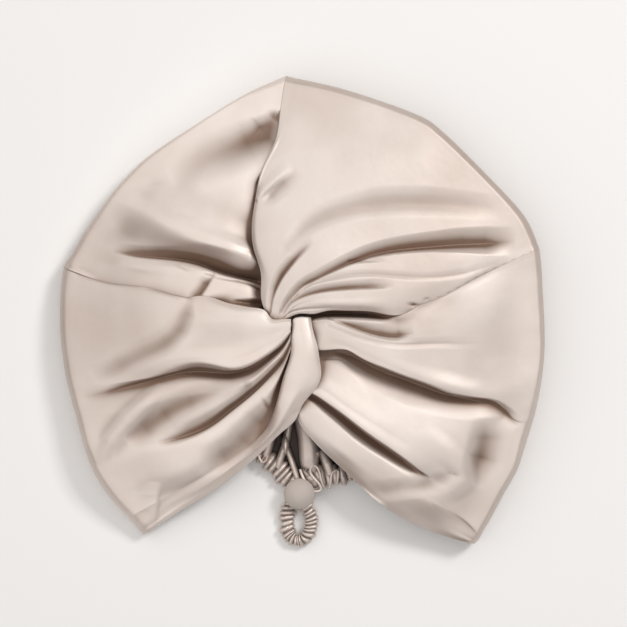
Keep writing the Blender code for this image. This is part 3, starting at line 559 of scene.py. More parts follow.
def smooth_step(value):
    """Rise from 0 to 1 with level ends."""
    share = np.clip(value, 0.0, 1.0)
    return share * share * (3.0 - 2.0 * share)


def unit(vectors):
    """Scale vectors to length one."""
    return vectors / np.maximum(np.linalg.norm(vectors, axis=-1, keepdims=True), 1e-12)


def chord_knots(points, power=1.0):
    """Give each point its share of the way along the points."""
    steps = np.linalg.norm(np.diff(points, axis=0), axis=1) ** power
    run = np.concatenate([[0.0], np.cumsum(steps)])
    return run / run[-1]


def left_of(ahead):
    """Directions square to the given plan directions, to their left."""
    return np.column_stack([-ahead[:, 1], ahead[:, 0]])


def natural_spline(knots, points, places):
    """Read a smooth curve through the points, with free ends, at the given places."""
    count = len(knots)
    gaps = np.diff(knots)
    system = np.eye(count)
    right = np.zeros((count, points.shape[1]))
    slopes = np.diff(points, axis=0) / gaps[:, None]
    for row in range(1, count - 1):
        system[row, row - 1] = gaps[row - 1]
        system[row, row] = 2.0 * (gaps[row - 1] + gaps[row])
        system[row, row + 1] = gaps[row]
        right[row] = 6.0 * (slopes[row] - slopes[row - 1])
    bends = np.linalg.solve(system, right)
    index = np.clip(np.searchsorted(knots, places, side="right") - 1, 0, count - 2)
    gap = gaps[index][:, None]
    after = (places - knots[index])[:, None] / gap
    before = 1.0 - after
    curve = before * points[index] + after * points[index + 1]
    bend = (before**3 - before) * bends[index] + (after**3 - after) * bends[index + 1]
    return curve + bend * gap**2 / 6.0


def blending(knots, places, sharp):
    """Weights by which the rows at the knots blend at the places: smooth, but with a turn at sharp rows."""
    count = len(knots)
    rows = np.eye(count)
    arriving = np.empty_like(rows)
    leaving = np.empty_like(rows)
    rises = [(rows[row + 1] - rows[row]) / (knots[row + 1] - knots[row]) for row in range(count - 1)]
    for row in range(count):
        before = rises[max(row - 1, 0)]
        after = rises[min(row, count - 2)]
        if sharp[row]:
            arriving[row], leaving[row] = before, after
        elif 0 < row < count - 1:
            gap_before = knots[row] - knots[row - 1]
            gap_after = knots[row + 1] - knots[row]
            even = (gap_after * before + gap_before * after) / (gap_before + gap_after)
            arriving[row], leaving[row] = even, even
        else:
            arriving[row], leaving[row] = before, after
    index = np.clip(np.searchsorted(knots, places, side="right") - 1, 0, count - 2)
    gap = (knots[index + 1] - knots[index])[:, None]
    share = (places - knots[index])[:, None] / gap
    start = 2 * share**3 - 3 * share**2 + 1
    leave = share**3 - 2 * share**2 + share
    end = 3 * share**2 - 2 * share**3
    arrive = share**3 - share**2
    level = start * rows[index] + end * rows[index + 1]
    return level + gap * (leave * leaving[index] + arrive * arriving[index + 1])


def on_table(places, height):
    """Plan places of places in the camera's picture, for points at their heights above the table."""
    shrink = 1.0 - np.asarray(height) / CAMERA_HEIGHT
    across = CAMERA_PLACE[0] + (places[:, 0] - FRAME_STEPS / 2) * STEP_ON_TABLE * shrink
    along = CAMERA_PLACE[1] - (places[:, 1] - FRAME_STEPS / 2) * STEP_ON_TABLE * shrink
    return np.column_stack([across, along])


def seen(points):
    """Where the camera sees points, in steps of its picture."""
    stretch = CAMERA_HEIGHT / (CAMERA_HEIGHT - points[..., 2])
    across = FRAME_STEPS / 2 + (points[..., 0] - CAMERA_PLACE[0]) / STEP_ON_TABLE * stretch
    down = FRAME_STEPS / 2 - (points[..., 1] - CAMERA_PLACE[1]) / STEP_ON_TABLE * stretch
    return np.stack([across, down], axis=-1)


def facing(directions, side):
    """How far directions in the plan point towards a side, from 0 to 1."""
    return np.clip(unit(directions) @ np.array(side), 0.0, 1.0)


def fold_line(fold, places):
    """Follow one fold from the twist to the outline: x, y and the height before the rim turns down."""
    stations = np.array(fold.stations + ((*fold.tip, ROLL_HEIGHT * MM_IN_METRE),), float)
    plan = on_table(stations[:, :2], stations[:, 2] / MM_IN_METRE)
    knots = chord_knots(plan)
    sag = SAG * (1.0 + sum(share * facing(plan[-1], side) for side, share in SAG_SIDES))
    heights = stations[:, 2] / MM_IN_METRE * (1.0 - sag * knots**SAG_POWER)
    heights[-1] = heights[-2] * SHOULDER_SHARE
    return natural_spline(knots, np.column_stack([plan, heights]), places)


def edge_height(fold):
    """Height at which a fold's cloth turns under: full along the outline, low at the pinched corners."""
    return min(ROLL_HEIGHT, fold.stations[-1][2] / MM_IN_METRE / CORNER_PART)


def kept_rise(past):
    """Share of the rise that the cloth keeps at a share of the rim's run: level for long, then steep."""
    return (1.0 - np.clip(past, 0.0, 1.0) ** RIM_POWER) ** (1.0 / RIM_POWER)


def along_places():
    """Places along a fold, from the twist to the outline, and the share of its rise that each one keeps."""
    level = np.linspace(0.0, 1.0 - RIM_SHARE, STEPS_TO_SHOULDER + 1)
    past = np.sin(np.linspace(0.0, np.pi / 2, STEPS_OVER_RIM + 1)[1:])
    places = np.concatenate([level, 1.0 - RIM_SHARE * (1.0 - past)])
    kept = np.concatenate([np.ones(len(level)), kept_rise(past)])
    return places, kept


def rolled(line, kept, edge):
    """Turn a fold line down at the rim, under the outline and back along the table."""
    top = line.copy()
    top[:, 2] = edge + (line[:, 2] - edge) * kept
    tip = line[-1]
    inward = unit(line[-2, :2] - tip[:2])
    turn = np.linspace(0.0, np.pi / 2, STEPS_UNDER_RIM + 1)[1:]
    run = np.concatenate([ROLL_RUN * (1.0 - np.cos(turn)), [UNDER_RUN]])
    height = np.concatenate([edge * (1.0 - np.sin(turn[:-1])), [0.0, 0.0]])
    under = np.column_stack([tip[:2] + inward * run[:, None], height])
    return np.vstack([top, under])


def edge_line(fold):
    """The rolled line of a panel's own edge."""
    places, kept = along_places()
    return rolled(fold_line(fold, places), kept, edge_height(fold))


def tucked_line(fold, tuck):
    """Line of an under panel's edge: below the edge above it at first, then together with it."""
    places = along_places()[0]
    moved = tuck.start + (1.0 - tuck.start) * places
    line = fold_line(fold, moved)
    left = left_of(unit(np.gradient(line[:, :2], axis=0)))
    parted = 1.0 - smooth_step((moved - tuck.start) / (tuck.join - tuck.start))
    line[:, :2] -= left * (tuck.side * TUCK_DEPTH * smooth_step(2.0 * parted - 1.0))[:, None]
    line[:, 2] -= TUCK_DROP * smooth_step(2.0 * parted)
    return rolled(line, kept_rise((moved - 1.0 + RIM_SHARE) / RIM_SHARE), edge_height(fold))


def lofted(lines, sharp):
    """Loft a sheet across fold lines, in steps that are even where the lines stand farthest apart."""
    middle = lines.shape[1] // 2
    knots = chord_knots(lines[:, middle], power=0.5)
    apart = np.linalg.norm(np.diff(lines, axis=0), axis=2).max(axis=1)
    steps = 2 * np.maximum(3, np.ceil(apart / STEP_ACROSS / 2)).astype(int)
    spans = [np.linspace(a, b, count, endpoint=False) for a, b, count in zip(knots, knots[1:], steps)]
    places = np.append(np.concatenate(spans), 1.0)
    weights = blending(knots, places, sharp)
    return np.einsum("sf,ftc->stc", weights, lines)


def sheet_normals(grid):
    """Outward directions of a sheet, evened out where the folds draw together at the twist."""
    across = np.gradient(grid, axis=0)
    along = np.gradient(grid, axis=1)
    own = unit(np.cross(across, along))
    last = STEPS_TO_SHOULDER + STEPS_OVER_RIM - 1
    flat = along.copy()
    flat[..., 2] = 0.0
    flat[:, last + 1 :] = flat[:, last : last + 1]
    side = unit(np.stack([flat[..., 1], -flat[..., 0], np.zeros(flat.shape[:2])], axis=-1))
    plain = unit(np.cross(side, along))
    from_twist = np.linspace(0.0, 1.0, grid.shape[1])
    share = smooth_step(from_twist / EVENED_SHARE)[None, :, None]
    mixed = unit(plain * (1.0 - share) + own * share)
    mixed[0] = plain[0]
    mixed[-1] = plain[-1]
    return mixed


def crease_shape(depth, share, soft):
    """Share of a crease's depth left at a share of its width: crisp or soft, or round on a high gather."""
    level = 1.0 - smooth_step(share)
    crisp = (1.0 - share) ** CREASE_POWER * (1.0 - soft) + level * soft
    high = np.where(depth < -GATHER_HEIGHT, np.sqrt(1.0 - share**3), level)
    return np.where(depth > 0, crisp, high)


def crease_reached(crease, places):
    """Find the places that a crease reaches, with its depth there and the share of it that is left."""
    path = np.array(crease.path, float)
    step = STEP_ON_TABLE * MM_IN_METRE
    knots = chord_knots(path[:, :2])
    fine = np.linspace(0, 1, CREASE_STEPS * len(path))
    line = natural_spline(knots, path[:, :2], fine)
    depths, lefts, rights = (np.interp(fine, knots, path[:, column]) for column in (2, 3, 4))
    start, run = line[:-1], np.diff(line, axis=0)
    reach = path[:, 3:].max() / step
    near = np.flatnonzero(((places > line.min(0) - reach) & (places < line.max(0) + reach)).all(axis=1))
    away = places[near, None] - start
    share = np.clip((away * run).sum(-1) / np.maximum((run * run).sum(-1), 1e-9), 0.0, 1.0)
    far = np.linalg.norm(away - share[..., None] * run, axis=-1)
    best = far.argmin(axis=1)
    pick = (np.arange(len(near)), best)
    turn = run[best, 0] * away[pick][:, 1] - run[best, 1] * away[pick][:, 0]
    at = best + share[pick]
    counted = np.arange(len(fine))
    depth = np.interp(at, counted, depths)
    width = np.where(turn < 0, np.interp(at, counted, lefts), np.interp(at, counted, rights)) / step
    narrow = path[:, 3:].min(axis=1).mean()
    soft = smooth_step((narrow - CRISP_WIDTH) / (SOFT_WIDTH - CRISP_WIDTH))
    return near, depth, crease_shape(depth, np.clip(far[pick] / width, 0.0, 1.0), soft)


def pressed(grid, panel):
    """Press the panel's creases into a sheet and raise its ridges. Give the sheet and the painted shade of
    its deep creases.
    """
    shaped = grid.copy()
    places = seen(grid).reshape(-1, 2)
    moved = np.zeros(len(places))
    deep = np.zeros(len(places))
    for crease in CREASES:
        if crease.panel == panel:
            near, depth, left = crease_reached(crease, places)
            moved[near] -= depth * left / MM_IN_METRE
            # Deeper creases take more painted brown shade
            deep[near] += np.clip(depth, 0.0, DEEP_AT) / DEEP_AT * left
    shaped[..., 2] += moved.reshape(grid.shape[:2])
    return shaped, deep.reshape(grid.shape[:2])


def evened(field, reach):
    """Blur a field of heights over the given reach."""
    share = np.exp(-2.0 * (np.pi * reach * np.fft.fftfreq(FRAME_STEPS)) ** 2)
    return np.fft.ifft2(np.fft.fft2(field) * share[:, None] * share[None]).real


def heights_seen(grids):
    """The height of the topmost cloth at every step of the camera's picture."""
    field = np.zeros((FRAME_STEPS, FRAME_STEPS))
    for grid in grids:
        spots = np.clip(seen(grid).round().astype(int), 0, FRAME_STEPS - 1).reshape(-1, 2)
        np.maximum.at(field, (spots[:, 1], spots[:, 0]), grid[..., 2].ravel())
    around = [np.roll(field, shift, axis) for shift in (-1, 1) for axis in (0, 1)]
    return np.where(field == 0.0, np.max(around, axis=0), field)


def hollow_shares(grid, field):
    """How far each place lies below the cloth around it, from 0 to 1: there the satin takes painted brown
    shade.
    """
    places = np.clip(seen(grid), 0.0, FRAME_STEPS - 2.0)
    low = places.astype(int)
    part = places - low
    total = np.zeros(grid.shape[:2])
    for reach, depth in HOLLOW_REACHES:
        wide = evened(field, reach)
        level = 0.0
        for right, down in ((0, 0), (1, 0), (0, 1), (1, 1)):
            share = np.abs(1 - right - part[..., 0]) * np.abs(1 - down - part[..., 1])
            level = level + wide[low[..., 1] + down, low[..., 0] + right] * share
        total += np.maximum(level - grid[..., 2], 0.0) / depth
    return np.clip(total, 0.0, 1.0)


def mesh_piece(name, points, faces, material, lengths, painted_shade_and_stitches):
    """Make a smooth piece from points and faces, with a map that follows the cloth, and the painted shade,
    with any stitch marks, that its colour takes.
    """
    mesh = bpy.data.meshes.new(name)
    mesh.from_pydata([tuple(point) for point in points], [], faces)
    mesh.validate()
    mesh.shade_smooth()
    mesh.materials.append(material)
    layer = mesh.uv_layers.new(name="cloth")
    corner = np.zeros(len(mesh.loops), int)
    mesh.loops.foreach_get("vertex_index", corner)
    layer.data.foreach_set("uv", lengths[corner].ravel().astype(np.float32))
    deep = mesh.attributes.new("painted_shade_and_stitches", "FLOAT", "POINT")
    deep.data.foreach_set("value", painted_shade_and_stitches.ravel().astype(np.float32))
    piece = bpy.data.objects.new(name, mesh)
    bpy.context.scene.collection.objects.link(piece)
    return piece


def sheet_piece(name, outer, inner, painted_shade_and_stitches, material):
    """Close an outer and an inner side into a cloth wall. The inner one takes every second row and column."""
    rows, columns = outer.shape[:2]
    inner = inner[::2, ::2]
    inner_columns = inner.shape[1]
    points = np.concatenate([outer.reshape(-1, 3), inner.reshape(-1, 3)])
    shift = rows * columns

    def quads(count_down, count_across):
        row, column = np.meshgrid(np.arange(count_down - 1), np.arange(count_across - 1), indexing="ij")
        first = (row * count_across + column).ravel()
        return np.column_stack([first, first + count_across, first + count_across + 1, first + 1])

    faces = quads(rows, columns).tolist() + (quads(*inner.shape[:2])[:, ::-1] + shift).tolist()
    ring = [(0, column) for column in range(columns)] + [(row, columns - 1) for row in range(1, rows)]
    ring += [(rows - 1, column) for column in range(columns - 2, -1, -1)]
    ring += [(row, 0) for row in range(rows - 2, -1, -1)]
    for here, between, there in zip(ring[::2], ring[1::2], ring[2::2]):
        first, middle, last = (row * columns + column for row, column in (here, between, there))
        under, beyond = (shift + row // 2 * inner_columns + column // 2 for row, column in (here, there))
        faces += [(first, middle, under), (middle, last, beyond), (middle, beyond, under)]
    across = np.cumsum(np.linalg.norm(np.diff(outer, axis=0, prepend=outer[:1]), axis=-1), axis=0)
    along = np.cumsum(np.linalg.norm(np.diff(outer, axis=1, prepend=outer[:, :1]), axis=-1), axis=1)
    lengths = np.stack([across, along], axis=-1)
    lengths = np.vstack([lengths.reshape(-1, 2), lengths[::2, ::2].reshape(-1, 2)])
    painted_shade_and_stitches = np.concatenate([painted_shade_and_stitches.ravel(), painted_shade_and_stitches[::2, ::2].ravel()])
    return mesh_piece(name, points, faces, material, lengths, painted_shade_and_stitches)


def panel_grids():
    """Lay out the four satin panels, each as a grid of points from one edge to the other."""
    panels = {
        "wrap_left": ([], WRAP_LEFT[::-1], []),
        "crown_left": (
            [(WRAP_LEFT[0], LEFT_SEAM_TUCK)], CROWN_LEFT[::-1], [(CROWN_RIGHT[0], CENTRE_SEAM_TUCK)]
        ),
        "crown_right": ([], CROWN_RIGHT, []),
        "wrap_right": ([(CROWN_RIGHT[-1], RIGHT_SEAM_TUCK)], WRAP_RIGHT, []),
    }
    grids = {}
    for panel, (before, own, after) in panels.items():
        lines = [tucked_line(*seam) for seam in before] + [edge_line(fold) for fold in own]
        lines += [tucked_line(*seam) for seam in after]
        turns = [SOFT] * len(before) + [fold.turn for fold in own] + [SOFT] * len(after)
        grids[panel] = relaxed(lofted(np.array(lines), turns))
    return grids


def relaxed(grid):
    """Let the folds of a panel die out towards the outline, but for the panel's own edges."""
    reach = 3 * RELAX_ROWS
    weights = np.exp(-0.5 * (np.arange(-reach, reach + 1) / RELAX_ROWS) ** 2)
    weights /= weights.sum()
    heights = grid[..., 2]
    padded = np.pad(heights, ((reach, reach), (0, 0)), mode="reflect", reflect_type="odd")
    even = np.apply_along_axis(np.convolve, 0, padded, weights, mode="valid")
    rows, columns = heights.shape
    inside = np.minimum(np.arange(rows), np.arange(rows)[::-1]) / RELAX_ROWS
    places = np.clip(np.arange(columns) / STEPS_TO_SHOULDER, 0.0, 1.0)
    share = smooth_step(inside)[:, None] * smooth_step((places - RELAX_START) / (1.0 - RELAX_START))[None]
    calm = grid.copy()
    calm[..., 2] = heights * (1.0 - share) + even * share
    return calm


def back_cloth(grids):
    """Fill the outline behind the four panels, and puff the cloth up where it is drawn into the nape band."""
    ends = np.vstack([grid[:, -1, :2] for grid in grids.values()])
    left, right = len(grids["wrap_left"]), len(grids["wrap_right"])
    columns = len(ends) - left - right
    band = on_table(np.array(NAPE_BAND.line)[:, :2], BAND_MIDDLE)
    band = natural_spline(chord_knots(band), band, np.linspace(0, 1, columns))
    start = np.vstack([np.array(LEFT_BACK_HEM) * PLAN_UNIT, band[:1]])
    end = np.vstack([band[-1:], np.array(RIGHT_BACK_HEM) * PLAN_UNIT])
    start = natural_spline(chord_knots(start), start, np.linspace(0, 1, left + 1))[:-1]
    end = natural_spline(chord_knots(end), end, np.linspace(0, 1, right + 1))[1:]
    hem = np.vstack([start, band, end])
    place = np.clip((np.arange(len(hem)) - left) / (columns - 1), 0.0, 1.0)
    puffed = smooth_step(place / BACK_FADE) * smooth_step((1.0 - place) / BACK_FADE)
    spans = zip(BACK_ROWS, BACK_ROWS[1:], BACK_STEPS)
    shares = [np.linspace(low, high, steps, endpoint=False) for low, high, steps in spans]
    shares = np.append(np.concatenate(shares), 1.0)
    lifts = np.interp(shares, BACK_ROWS, BACK_LIFTS)
    plan = hem[:, None] + (ends - hem)[:, None] * shares[None, :, None]
    rise = BACK_HEIGHT + BACK_PUFF * lifts[None, :] * puffed[:, None]
    return np.concatenate([plan, rise[..., None]], axis=2)


def pleats(ruche):
    """Uneven bounds of a gathered tube's pleats, with each one's strength and its reach on either side."""
    dice = np.random.default_rng(ruche.seed)
    steps = 1.0 + ruche.spread * (dice.random(ruche.pleats + 1) - 0.5) * 2.0
    places = np.cumsum(steps)[:-1] / steps.sum()
    strengths = WEAKEST_PLEAT + (1.0 - WEAKEST_PLEAT) * dice.random(ruche.pleats)
    reaches = dice.random((ruche.pleats, 2))
    bounds = np.concatenate([[-places[0] - 1.0], places, [3.0 - places[-1]]])
    strengths = np.concatenate([strengths[:1], strengths, strengths[-1:]])
    return bounds, strengths, np.vstack([reaches[:1], reaches, reaches[-1:]])


def gathered_tube(ruche, material):
    """Sweep a flattened tube along its line, and gather it into slanting pleats, with painted shade in their
    valleys.
    """
    line = np.array(ruche.line, float)
    plan = on_table(line[:, :2], BAND_MIDDLE)
    stations = np.column_stack([plan, line[:, 2:] / MM_IN_METRE])
    shares = np.linspace(0, 1, ruche.rings + 1)
    swept = natural_spline(chord_knots(plan), stations, shares)
    centre, widths, heights = swept[:, :2], swept[:, 2], swept[:, 3]
    side = left_of(unit(np.gradient(centre, axis=0)))
    turns = np.linspace(0, 2 * np.pi, ruche.sides, endpoint=False)
    bounds, strengths, reaches = pleats(ruche)
    where = shares[:, None] + ruche.slant / ruche.pleats * np.cos(turns)
    index = np.clip(np.searchsorted(bounds, where.ravel()) - 1, 0, len(bounds) - 2).reshape(where.shape)
    share = np.clip((where - bounds[index]) / (bounds[index + 1] - bounds[index]), 0.0, 1.0)
    to_crest = np.abs(2.0 * share - 1.0)
    valley = 1.0 - np.sqrt(to_crest * (2.0 - to_crest))
    crest = np.where(share < 0.5, index, np.minimum(index + 1, len(reaches) - 1))
    reach = np.where(np.cos(turns) > 0, reaches[crest, 0], reaches[crest, 1])
    inset = ruche.depth * valley * strengths[index]
    stretch = 1.0 + PLEAT_REACH * (reach - LEVEL_WIDTH) * (1.0 - valley) * np.abs(np.cos(turns))
    across = np.cos(turns) * (widths[:, None] / 2 * stretch - inset)
    half = heights[:, None] / 2 * (1.0 + PLEAT_REACH / 2 * (reach - LEVEL_HEIGHT) * (1.0 - valley))
    rise = half + np.sin(turns) * (half - inset * PLEAT_DROP)
    points = np.concatenate([centre[:, None] + across[..., None] * side[:, None], rise[..., None]], axis=2)
    run = np.cumsum(np.linalg.norm(np.diff(centre, axis=0, prepend=centre[:1]), axis=1))
    sides = ruche.sides
    faces = [tuple(reversed(range(sides)))]
    for ring in range(ruche.rings):
        for turn in range(sides):
            first, second = ring * sides + turn, ring * sides + (turn + 1) % sides
            faces.append((first, second, second + sides, first + sides))
    faces.append(tuple(range(ruche.rings * sides, (ruche.rings + 1) * sides)))
    lengths = np.stack(np.broadcast_arrays(turns * CLOTH_ROUND, run[:, None]), axis=-1).reshape(-1, 2)
    tones = PLEAT_SHADE * valley**PLEAT_SHADE_POWER
    return mesh_piece(ruche.name, points.reshape(-1, 3), faces, material, lengths, tones)


def standing_frill(name, line, material):
    """Stand a narrow winding edge of cloth on the gathers, with painted shade at its foot."""
    line = np.array(line, float)
    swept = natural_spline(chord_knots(line[:, :2]), line, np.linspace(0, 1, 2 * FRILL_STEPS + 1))
    share = np.linspace(0, 1, FRILL_ROWS)
    height = swept[:, None, 2] + (swept[:, None, 3] - swept[:, None, 2]) * share
    plan = on_table(swept[:, :2], FRILL_MIDDLE)
    side = left_of(unit(np.gradient(plan, axis=0)))
    bulge = FRILL_THICK * (FRILL_EDGE + (1.0 - FRILL_EDGE) * np.sin(np.pi * share))
    away = side[:, None] * bulge[None, :, None]
    rise = height[..., None] / MM_IN_METRE
    outer, inner = (np.concatenate([plan[:, None] + way * away, rise], axis=2) for way in (1, -1))
    painted_shade_and_stitches = np.broadcast_to(FRILL_SHADE * (1.0 - share), height.shape)
    return sheet_piece(name, outer, inner, painted_shade_and_stitches, material)


def covered_button(material):
    """Turn a flat round button with a softly domed face."""
    across, along = on_table(np.array([BUTTON_PLACE]), BUTTON_FACE)[0]
    bpy.ops.object.select_all(action="DESELECT")
    bpy.ops.mesh.primitive_cylinder_add(
        vertices=48,
        radius=BUTTON_DIAMETER / 2,
        depth=BUTTON_WALL,
        location=(across, along, BUTTON_FOOT + BUTTON_WALL / 2),
    )
    button = bpy.context.object
    button.name = "button_disc"
    bpy.ops.object.transform_apply(location=True)
    bpy.ops.object.mode_set(mode="EDIT")
    bpy.ops.mesh.select_all(action="DESELECT")
    bpy.ops.mesh.select_mode(type="FACE")
    bpy.ops.object.mode_set(mode="OBJECT")
    top = max(button.data.polygons, key=lambda face: face.center.z)
    top.select = True
    bpy.ops.object.mode_set(mode="EDIT")
    for inset, lift in BUTTON_DOME:
        bpy.ops.mesh.inset(thickness=inset)
        bpy.ops.transform.translate(value=(0, 0, lift))
    bpy.ops.object.mode_set(mode="OBJECT")
    smoothing = button.modifiers.new("smoothing", "SUBSURF")
    smoothing.levels = 2
    smoothing.render_levels = 2
    bpy.ops.object.modifier_apply(modifier="smoothing")
    button.data.shade_smooth()
    button.data.materials.clear()
    button.data.materials.append(material)
    return button


class Socket:
    """A shader socket that sums and products can be written with."""

    def __init__(self, tree, socket):
        self.tree = tree
        self.socket = socket

    def maths(self, operation, *values):
        return self.tree.node("ShaderNodeMath", {"operation": operation}, dict(enumerate(values)))

    def __add__(self, other):
        return self.maths("ADD", self, other)

    def __radd__(self, other):
        return self.maths("ADD", other, self)

    def __mul__(self, other):
        return self.maths("MULTIPLY", self, other)

    def __rmul__(self, other):
        return self.maths("MULTIPLY", other, self)


class Finish:
    """A material's nodes, added one at a time."""

    def __init__(self, name):
        self.material = bpy.data.materials.new(name)
        self.material.use_nodes = True
        self.nodes = self.material.node_tree.nodes
        self.shader = self.nodes["Principled BSDF"]

    def node(self, kind, settings=None, values=None, output=0):
        """Add a node: its settings first, then the values or links of its sockets."""
        node = self.nodes.new(kind)
        for key, value in (settings or {}).items():
            setattr(node, key, value)
        for key, value in (values or {}).items():
            self.put(node.inputs[key], value)
        return Socket(self, node.outputs[output])

    def mixed(self, share, first, second):
        """Mix two colours."""
        return self.node("ShaderNodeMix", {"data_type": "RGBA"}, {0: share, 6: first, 7: second}, output=2)

    def put(self, place, value):
        if isinstance(value, Socket):
            self.material.node_tree.links.new(value.socket, place)
        else:
            place.default_value = value

    def set(self, **values):
        for key, value in values.items():
            self.put(self.shader.inputs[key.replace("_", " ")], value)


def satin(name, light, deep, fold, share, metal, roughness):
    """Champagne satin: a fine weave along the cloth, small unevenness, a soft sheen, and painted brown shade
    where its attribute asks for it.
    """
    finish = Finish(name)
    place = finish.node("ShaderNodeTexCoord", output=3)
    cloth = finish.node("ShaderNodeTexCoord", output=2)
    cloud = finish.node("ShaderNodeTexNoise", values={"Vector": place, "Scale": 16.0, "Detail": 4.0})
    tone = finish.node("ShaderNodeMapRange", values={"Value": cloud, "From Min": 0.35, "From Max": 0.65})
    colour = finish.mixed(tone, (*deep, 1.0), (*light, 1.0))
    painted_shade_and_stitches = finish.node("ShaderNodeAttribute", {"attribute_name": "painted_shade_and_stitches"}, output=2)
    colour = finish.mixed(painted_shade_and_stitches * share, colour, (*fold, 1.0))
    stretched = finish.node("ShaderNodeMapping", values={"Vector": cloth, "Scale": (900.0, 60.0, 1.0)})
    crumple = finish.node("ShaderNodeTexNoise", values={"Vector": stretched, "Scale": 1.0, "Detail": 3.0})
    weave = finish.node(
        "ShaderNodeTexWave",
        {"wave_type": "BANDS", "bands_direction": "DIAGONAL"},
        {"Vector": cloth, "Scale": 700.0, "Distortion": 1.5, "Detail": 2.0, "Detail Scale": 1.0},
        output=1,
    )
    wide = finish.node("ShaderNodeTexNoise", values={"Vector": place, "Scale": 60.0, "Detail": 3.0})
    height = crumple * 0.10 + weave * 0.05 + wide * 0.9 + cloud * 6.0
    bump = finish.node("ShaderNodeBump", values={"Strength": 0.4, "Distance": 0.0006, "Height": height})
    finish.set(
        Base_Color=colour,
        Roughness=roughness + cloud * 0.10,
        Metallic=metal,
        IOR=1.6,
        Normal=bump,
        Sheen_Weight=0.10,
        Sheen_Roughness=0.35,
        Sheen_Tint=(1.0, 0.93, 0.87, 1.0),
    )
    return finish.material


def button_cloth(name, light, deep):
    """Matt cloth drawn over the button: a close weave, a little uneven in tone."""
    finish = Finish(name)
    place = finish.node("ShaderNodeTexCoord", output=3)
    cloud = finish.node("ShaderNodeTexNoise", values={"Vector": place, "Scale": 45.0, "Detail": 3.0})
    threads = finish.node("ShaderNodeTexNoise", values={"Vector": place, "Scale": 1800.0, "Detail": 2.0})
    colour = finish.mixed(cloud, (*deep, 1.0), (*light, 1.0))
    height = threads + cloud * 2.0
    bump = finish.node("ShaderNodeBump", values={"Strength": 0.2, "Distance": 0.0002, "Height": height})
    finish.set(Base_Color=colour, Roughness=0.50 + threads * 0.15, Normal=bump)
    return finish.material


def plain_finish(name, colour, roughness):
    """One plain colour."""
    finish = Finish(name)
    finish.set(Base_Color=(*colour, 1.0), Roughness=roughness)
    return finish.material


def painted_shade_and_stitch_marks(panel, outer, normals, deep, field):
    """How much painted brown shade a panel takes at each place, from 0 to 1, with the stitch marks along the
    right seam.
    """
    columns = np.arange(outer.shape[1])
    # Slopes that lean away from the window take painted shade
    lean = smooth_step((-normals[..., :2] @ np.array(WINDOW_SIDE) - LEAN_START) / (LEAN_END - LEAN_START))
    tones = np.clip(hollow_shares(outer, field) + DEEP_SHARE * deep + LEAN_SHARE * lean, 0.0, 1.0)
    # The rim takes painted shade, more where it faces the window, in place of its highlight
    rim = RIM_SHADE + RIM_SHADE_TO_WINDOW * np.clip(normals[..., :2] @ np.array(WINDOW_SIDE), 0.0, 1.0)
    tones += smooth_step((columns - STEPS_TO_SHOULDER) / RIM_BLEND + 0.5) * (rim - tones)
    # The far sides of the outline take painted shade
    near_edge = smooth_step((columns / STEPS_TO_SHOULDER - EDGE_START) / (1.0 - EDGE_START))
    for side, tone in EDGE_SHADES:
        tones = np.clip(tones + tone * near_edge * facing(outer[..., :2], side) ** EDGE_POWER, 0.0, 1.0)
    if panel == "crown_right":
        stitched = np.arange(STEPS_TO_SHOULDER // 2, STEPS_TO_SHOULDER)
        tones[STITCH_ROWS, stitched[stitched % STITCH_STEP < STITCH_LENGTH]] += STITCH_TONE
    return tones


def dress(piece, node):
    """Put a piece on the bonnet's one body in the place of a CAD node."""
    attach(piece, "root")
    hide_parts(node)
    node in FLAT_CUTS


# Finishes, with the brown of the painted shade
PAINTED_SHADE_BROWN = (0.17, 0.085, 0.045)
# The left panels' satin is painted lighter and the right panels' darker, as the light falls on the two sides
satin_painted_lighter = satin(
    "champagne_satin_painted_lighter",
    light=(0.92, 0.825, 0.765), deep=(0.80, 0.685, 0.62), fold=PAINTED_SHADE_BROWN,
    share=0.9, metal=0.30, roughness=0.44,
)
satin_painted_darker = satin(
    "champagne_satin_painted_darker",
    light=(0.78, 0.69, 0.635), deep=(0.68, 0.575, 0.515), fold=PAINTED_SHADE_BROWN,
    share=0.9, metal=0.30, roughness=0.44,
)
# Satin of the back panel, band, loop and frills: its painted shade goes nearly black in the gaps between
# gathers
gathered_satin = satin(
    "gathered_satin",
    light=(0.80, 0.695, 0.635), deep=(0.71, 0.595, 0.53), fold=(0.026, 0.012, 0.008),
    share=0.98, metal=0.45, roughness=0.38,
)
panel_finishes = {
    "wrap_left": satin_painted_lighter,
    "crown_left": satin_painted_lighter,
    "crown_right": satin_painted_darker,
    "wrap_right": satin_painted_darker,
}

# The four satin panels
grids = panel_grids()
outers = {panel: pressed(grid, panel) for panel, grid in grids.items()}
field = heights_seen([outer for outer, deep in outers.values()])
for panel, (outer, deep) in outers.items():
    outer[..., 2] = np.maximum(outer[..., 2], 0.0)
    normals = sheet_normals(outer)
    tones = painted_shade_and_stitch_marks(panel, outer, normals, deep, field)
    inner = outer - CLOTH * normals
    dress(sheet_piece(panel + "_cloth", outer, inner, tones, panel_finishes[panel]), panel)

# Back panel, with painted shade only round the mouth, where it lies low
back_outer = pressed(back_cloth(grids), "back_panel")[0]
back_inner = back_outer.copy()
back_inner[..., 2] -= CLOTH
from_mouth = np.linalg.norm(back_outer[..., :2] - on_table(np.array([MOUTH_MIDDLE]), BAND_MIDDLE)[0], axis=-1)
back_shade = np.clip(BACK_SHADE - back_outer[..., 2] / BACK_LIGHT_HEIGHT, 0.0, 1.0)
back_shade *= 1.0 - smooth_step((from_mouth - MOUTH_REACH) / MOUTH_REACH)
back_cloth_piece = sheet_piece("back_panel_cloth", back_outer, back_inner, back_shade, gathered_satin)
dress(back_cloth_piece, "back_panel")

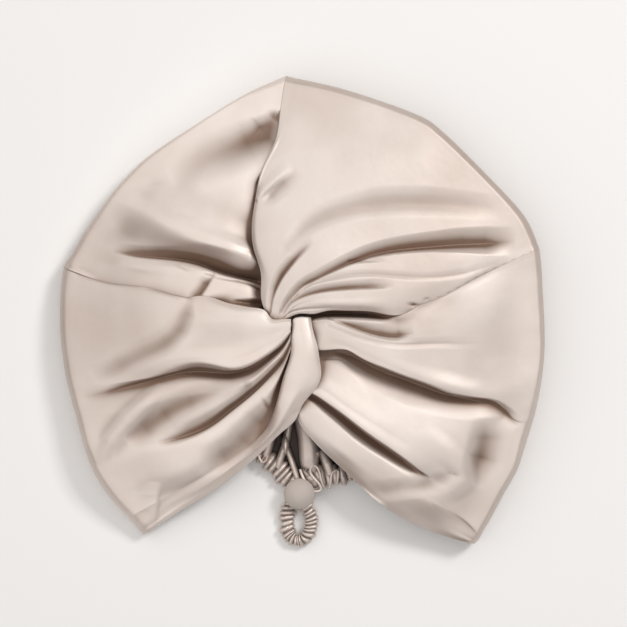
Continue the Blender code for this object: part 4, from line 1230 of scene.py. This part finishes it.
# Nape band, loop and button, then the frills on the band
dress(gathered_tube(NAPE_BAND, gathered_satin), "nape_band")
dress(gathered_tube(BUTTON_LOOP, gathered_satin), "button_loop")
matt_cloth = button_cloth("button_cloth", light=(0.56, 0.49, 0.445), deep=(0.44, 0.375, 0.335))
dress(covered_button(matt_cloth), "button")
for name, line in FRILLS:
    dress(standing_frill(name, line, gathered_satin), "nape_band")

# Table
TABLE_DROP = 0.0002
bpy.ops.object.select_all(action="DESELECT")
bpy.ops.mesh.primitive_plane_add(size=6, location=(0, 0, -TABLE_DROP))
table = bpy.context.object
table.name = "table"
table.data.materials.append(plain_finish("pale_table", (0.89, 0.873, 0.86), 0.75))

# Light: a faint even glow, a wide soft ceiling, and a window up and to the right
world = bpy.data.worlds.new("studio")
bpy.context.scene.world = world
world.use_nodes = True
world.node_tree.nodes["Background"].inputs["Color"].default_value = (1.0, 0.99, 0.98, 1.0)
world.node_tree.nodes["Background"].inputs["Strength"].default_value = 0.08


def soft_light(name, place, size, energy):
    """Hang a square light that looks at the middle of the table."""
    lamp = bpy.data.lights.new(name, "AREA")
    lamp.energy = energy
    lamp.size = size
    lamp.color = (1.0, 0.99, 0.975)
    item = bpy.data.objects.new(name, lamp)
    bpy.context.scene.collection.objects.link(item)
    item.location = place
    item.rotation_euler = (-Vector(place)).to_track_quat("-Z", "Y").to_euler()


soft_light("ceiling", (-0.7, 0.0, 2.3), size=6.2, energy=113)
soft_light("window", (1.35, 1.15, 1.8), size=0.6, energy=28)

# Camera
camera_data = bpy.data.cameras.new("camera")
camera_data.sensor_width = 36.0
camera_data.angle = 2 * math.atan(FRAME_STEPS / 2 * STEP_ON_TABLE / CAMERA_HEIGHT)
camera = bpy.data.objects.new("camera", camera_data)
bpy.context.scene.collection.objects.link(camera)
camera.location = (*CAMERA_PLACE, CAMERA_HEIGHT)
camera.rotation_euler = (0.0, 0.0, 0.0)
bpy.context.scene.camera = camera
bpy.context.scene.view_settings.view_transform = "Standard"
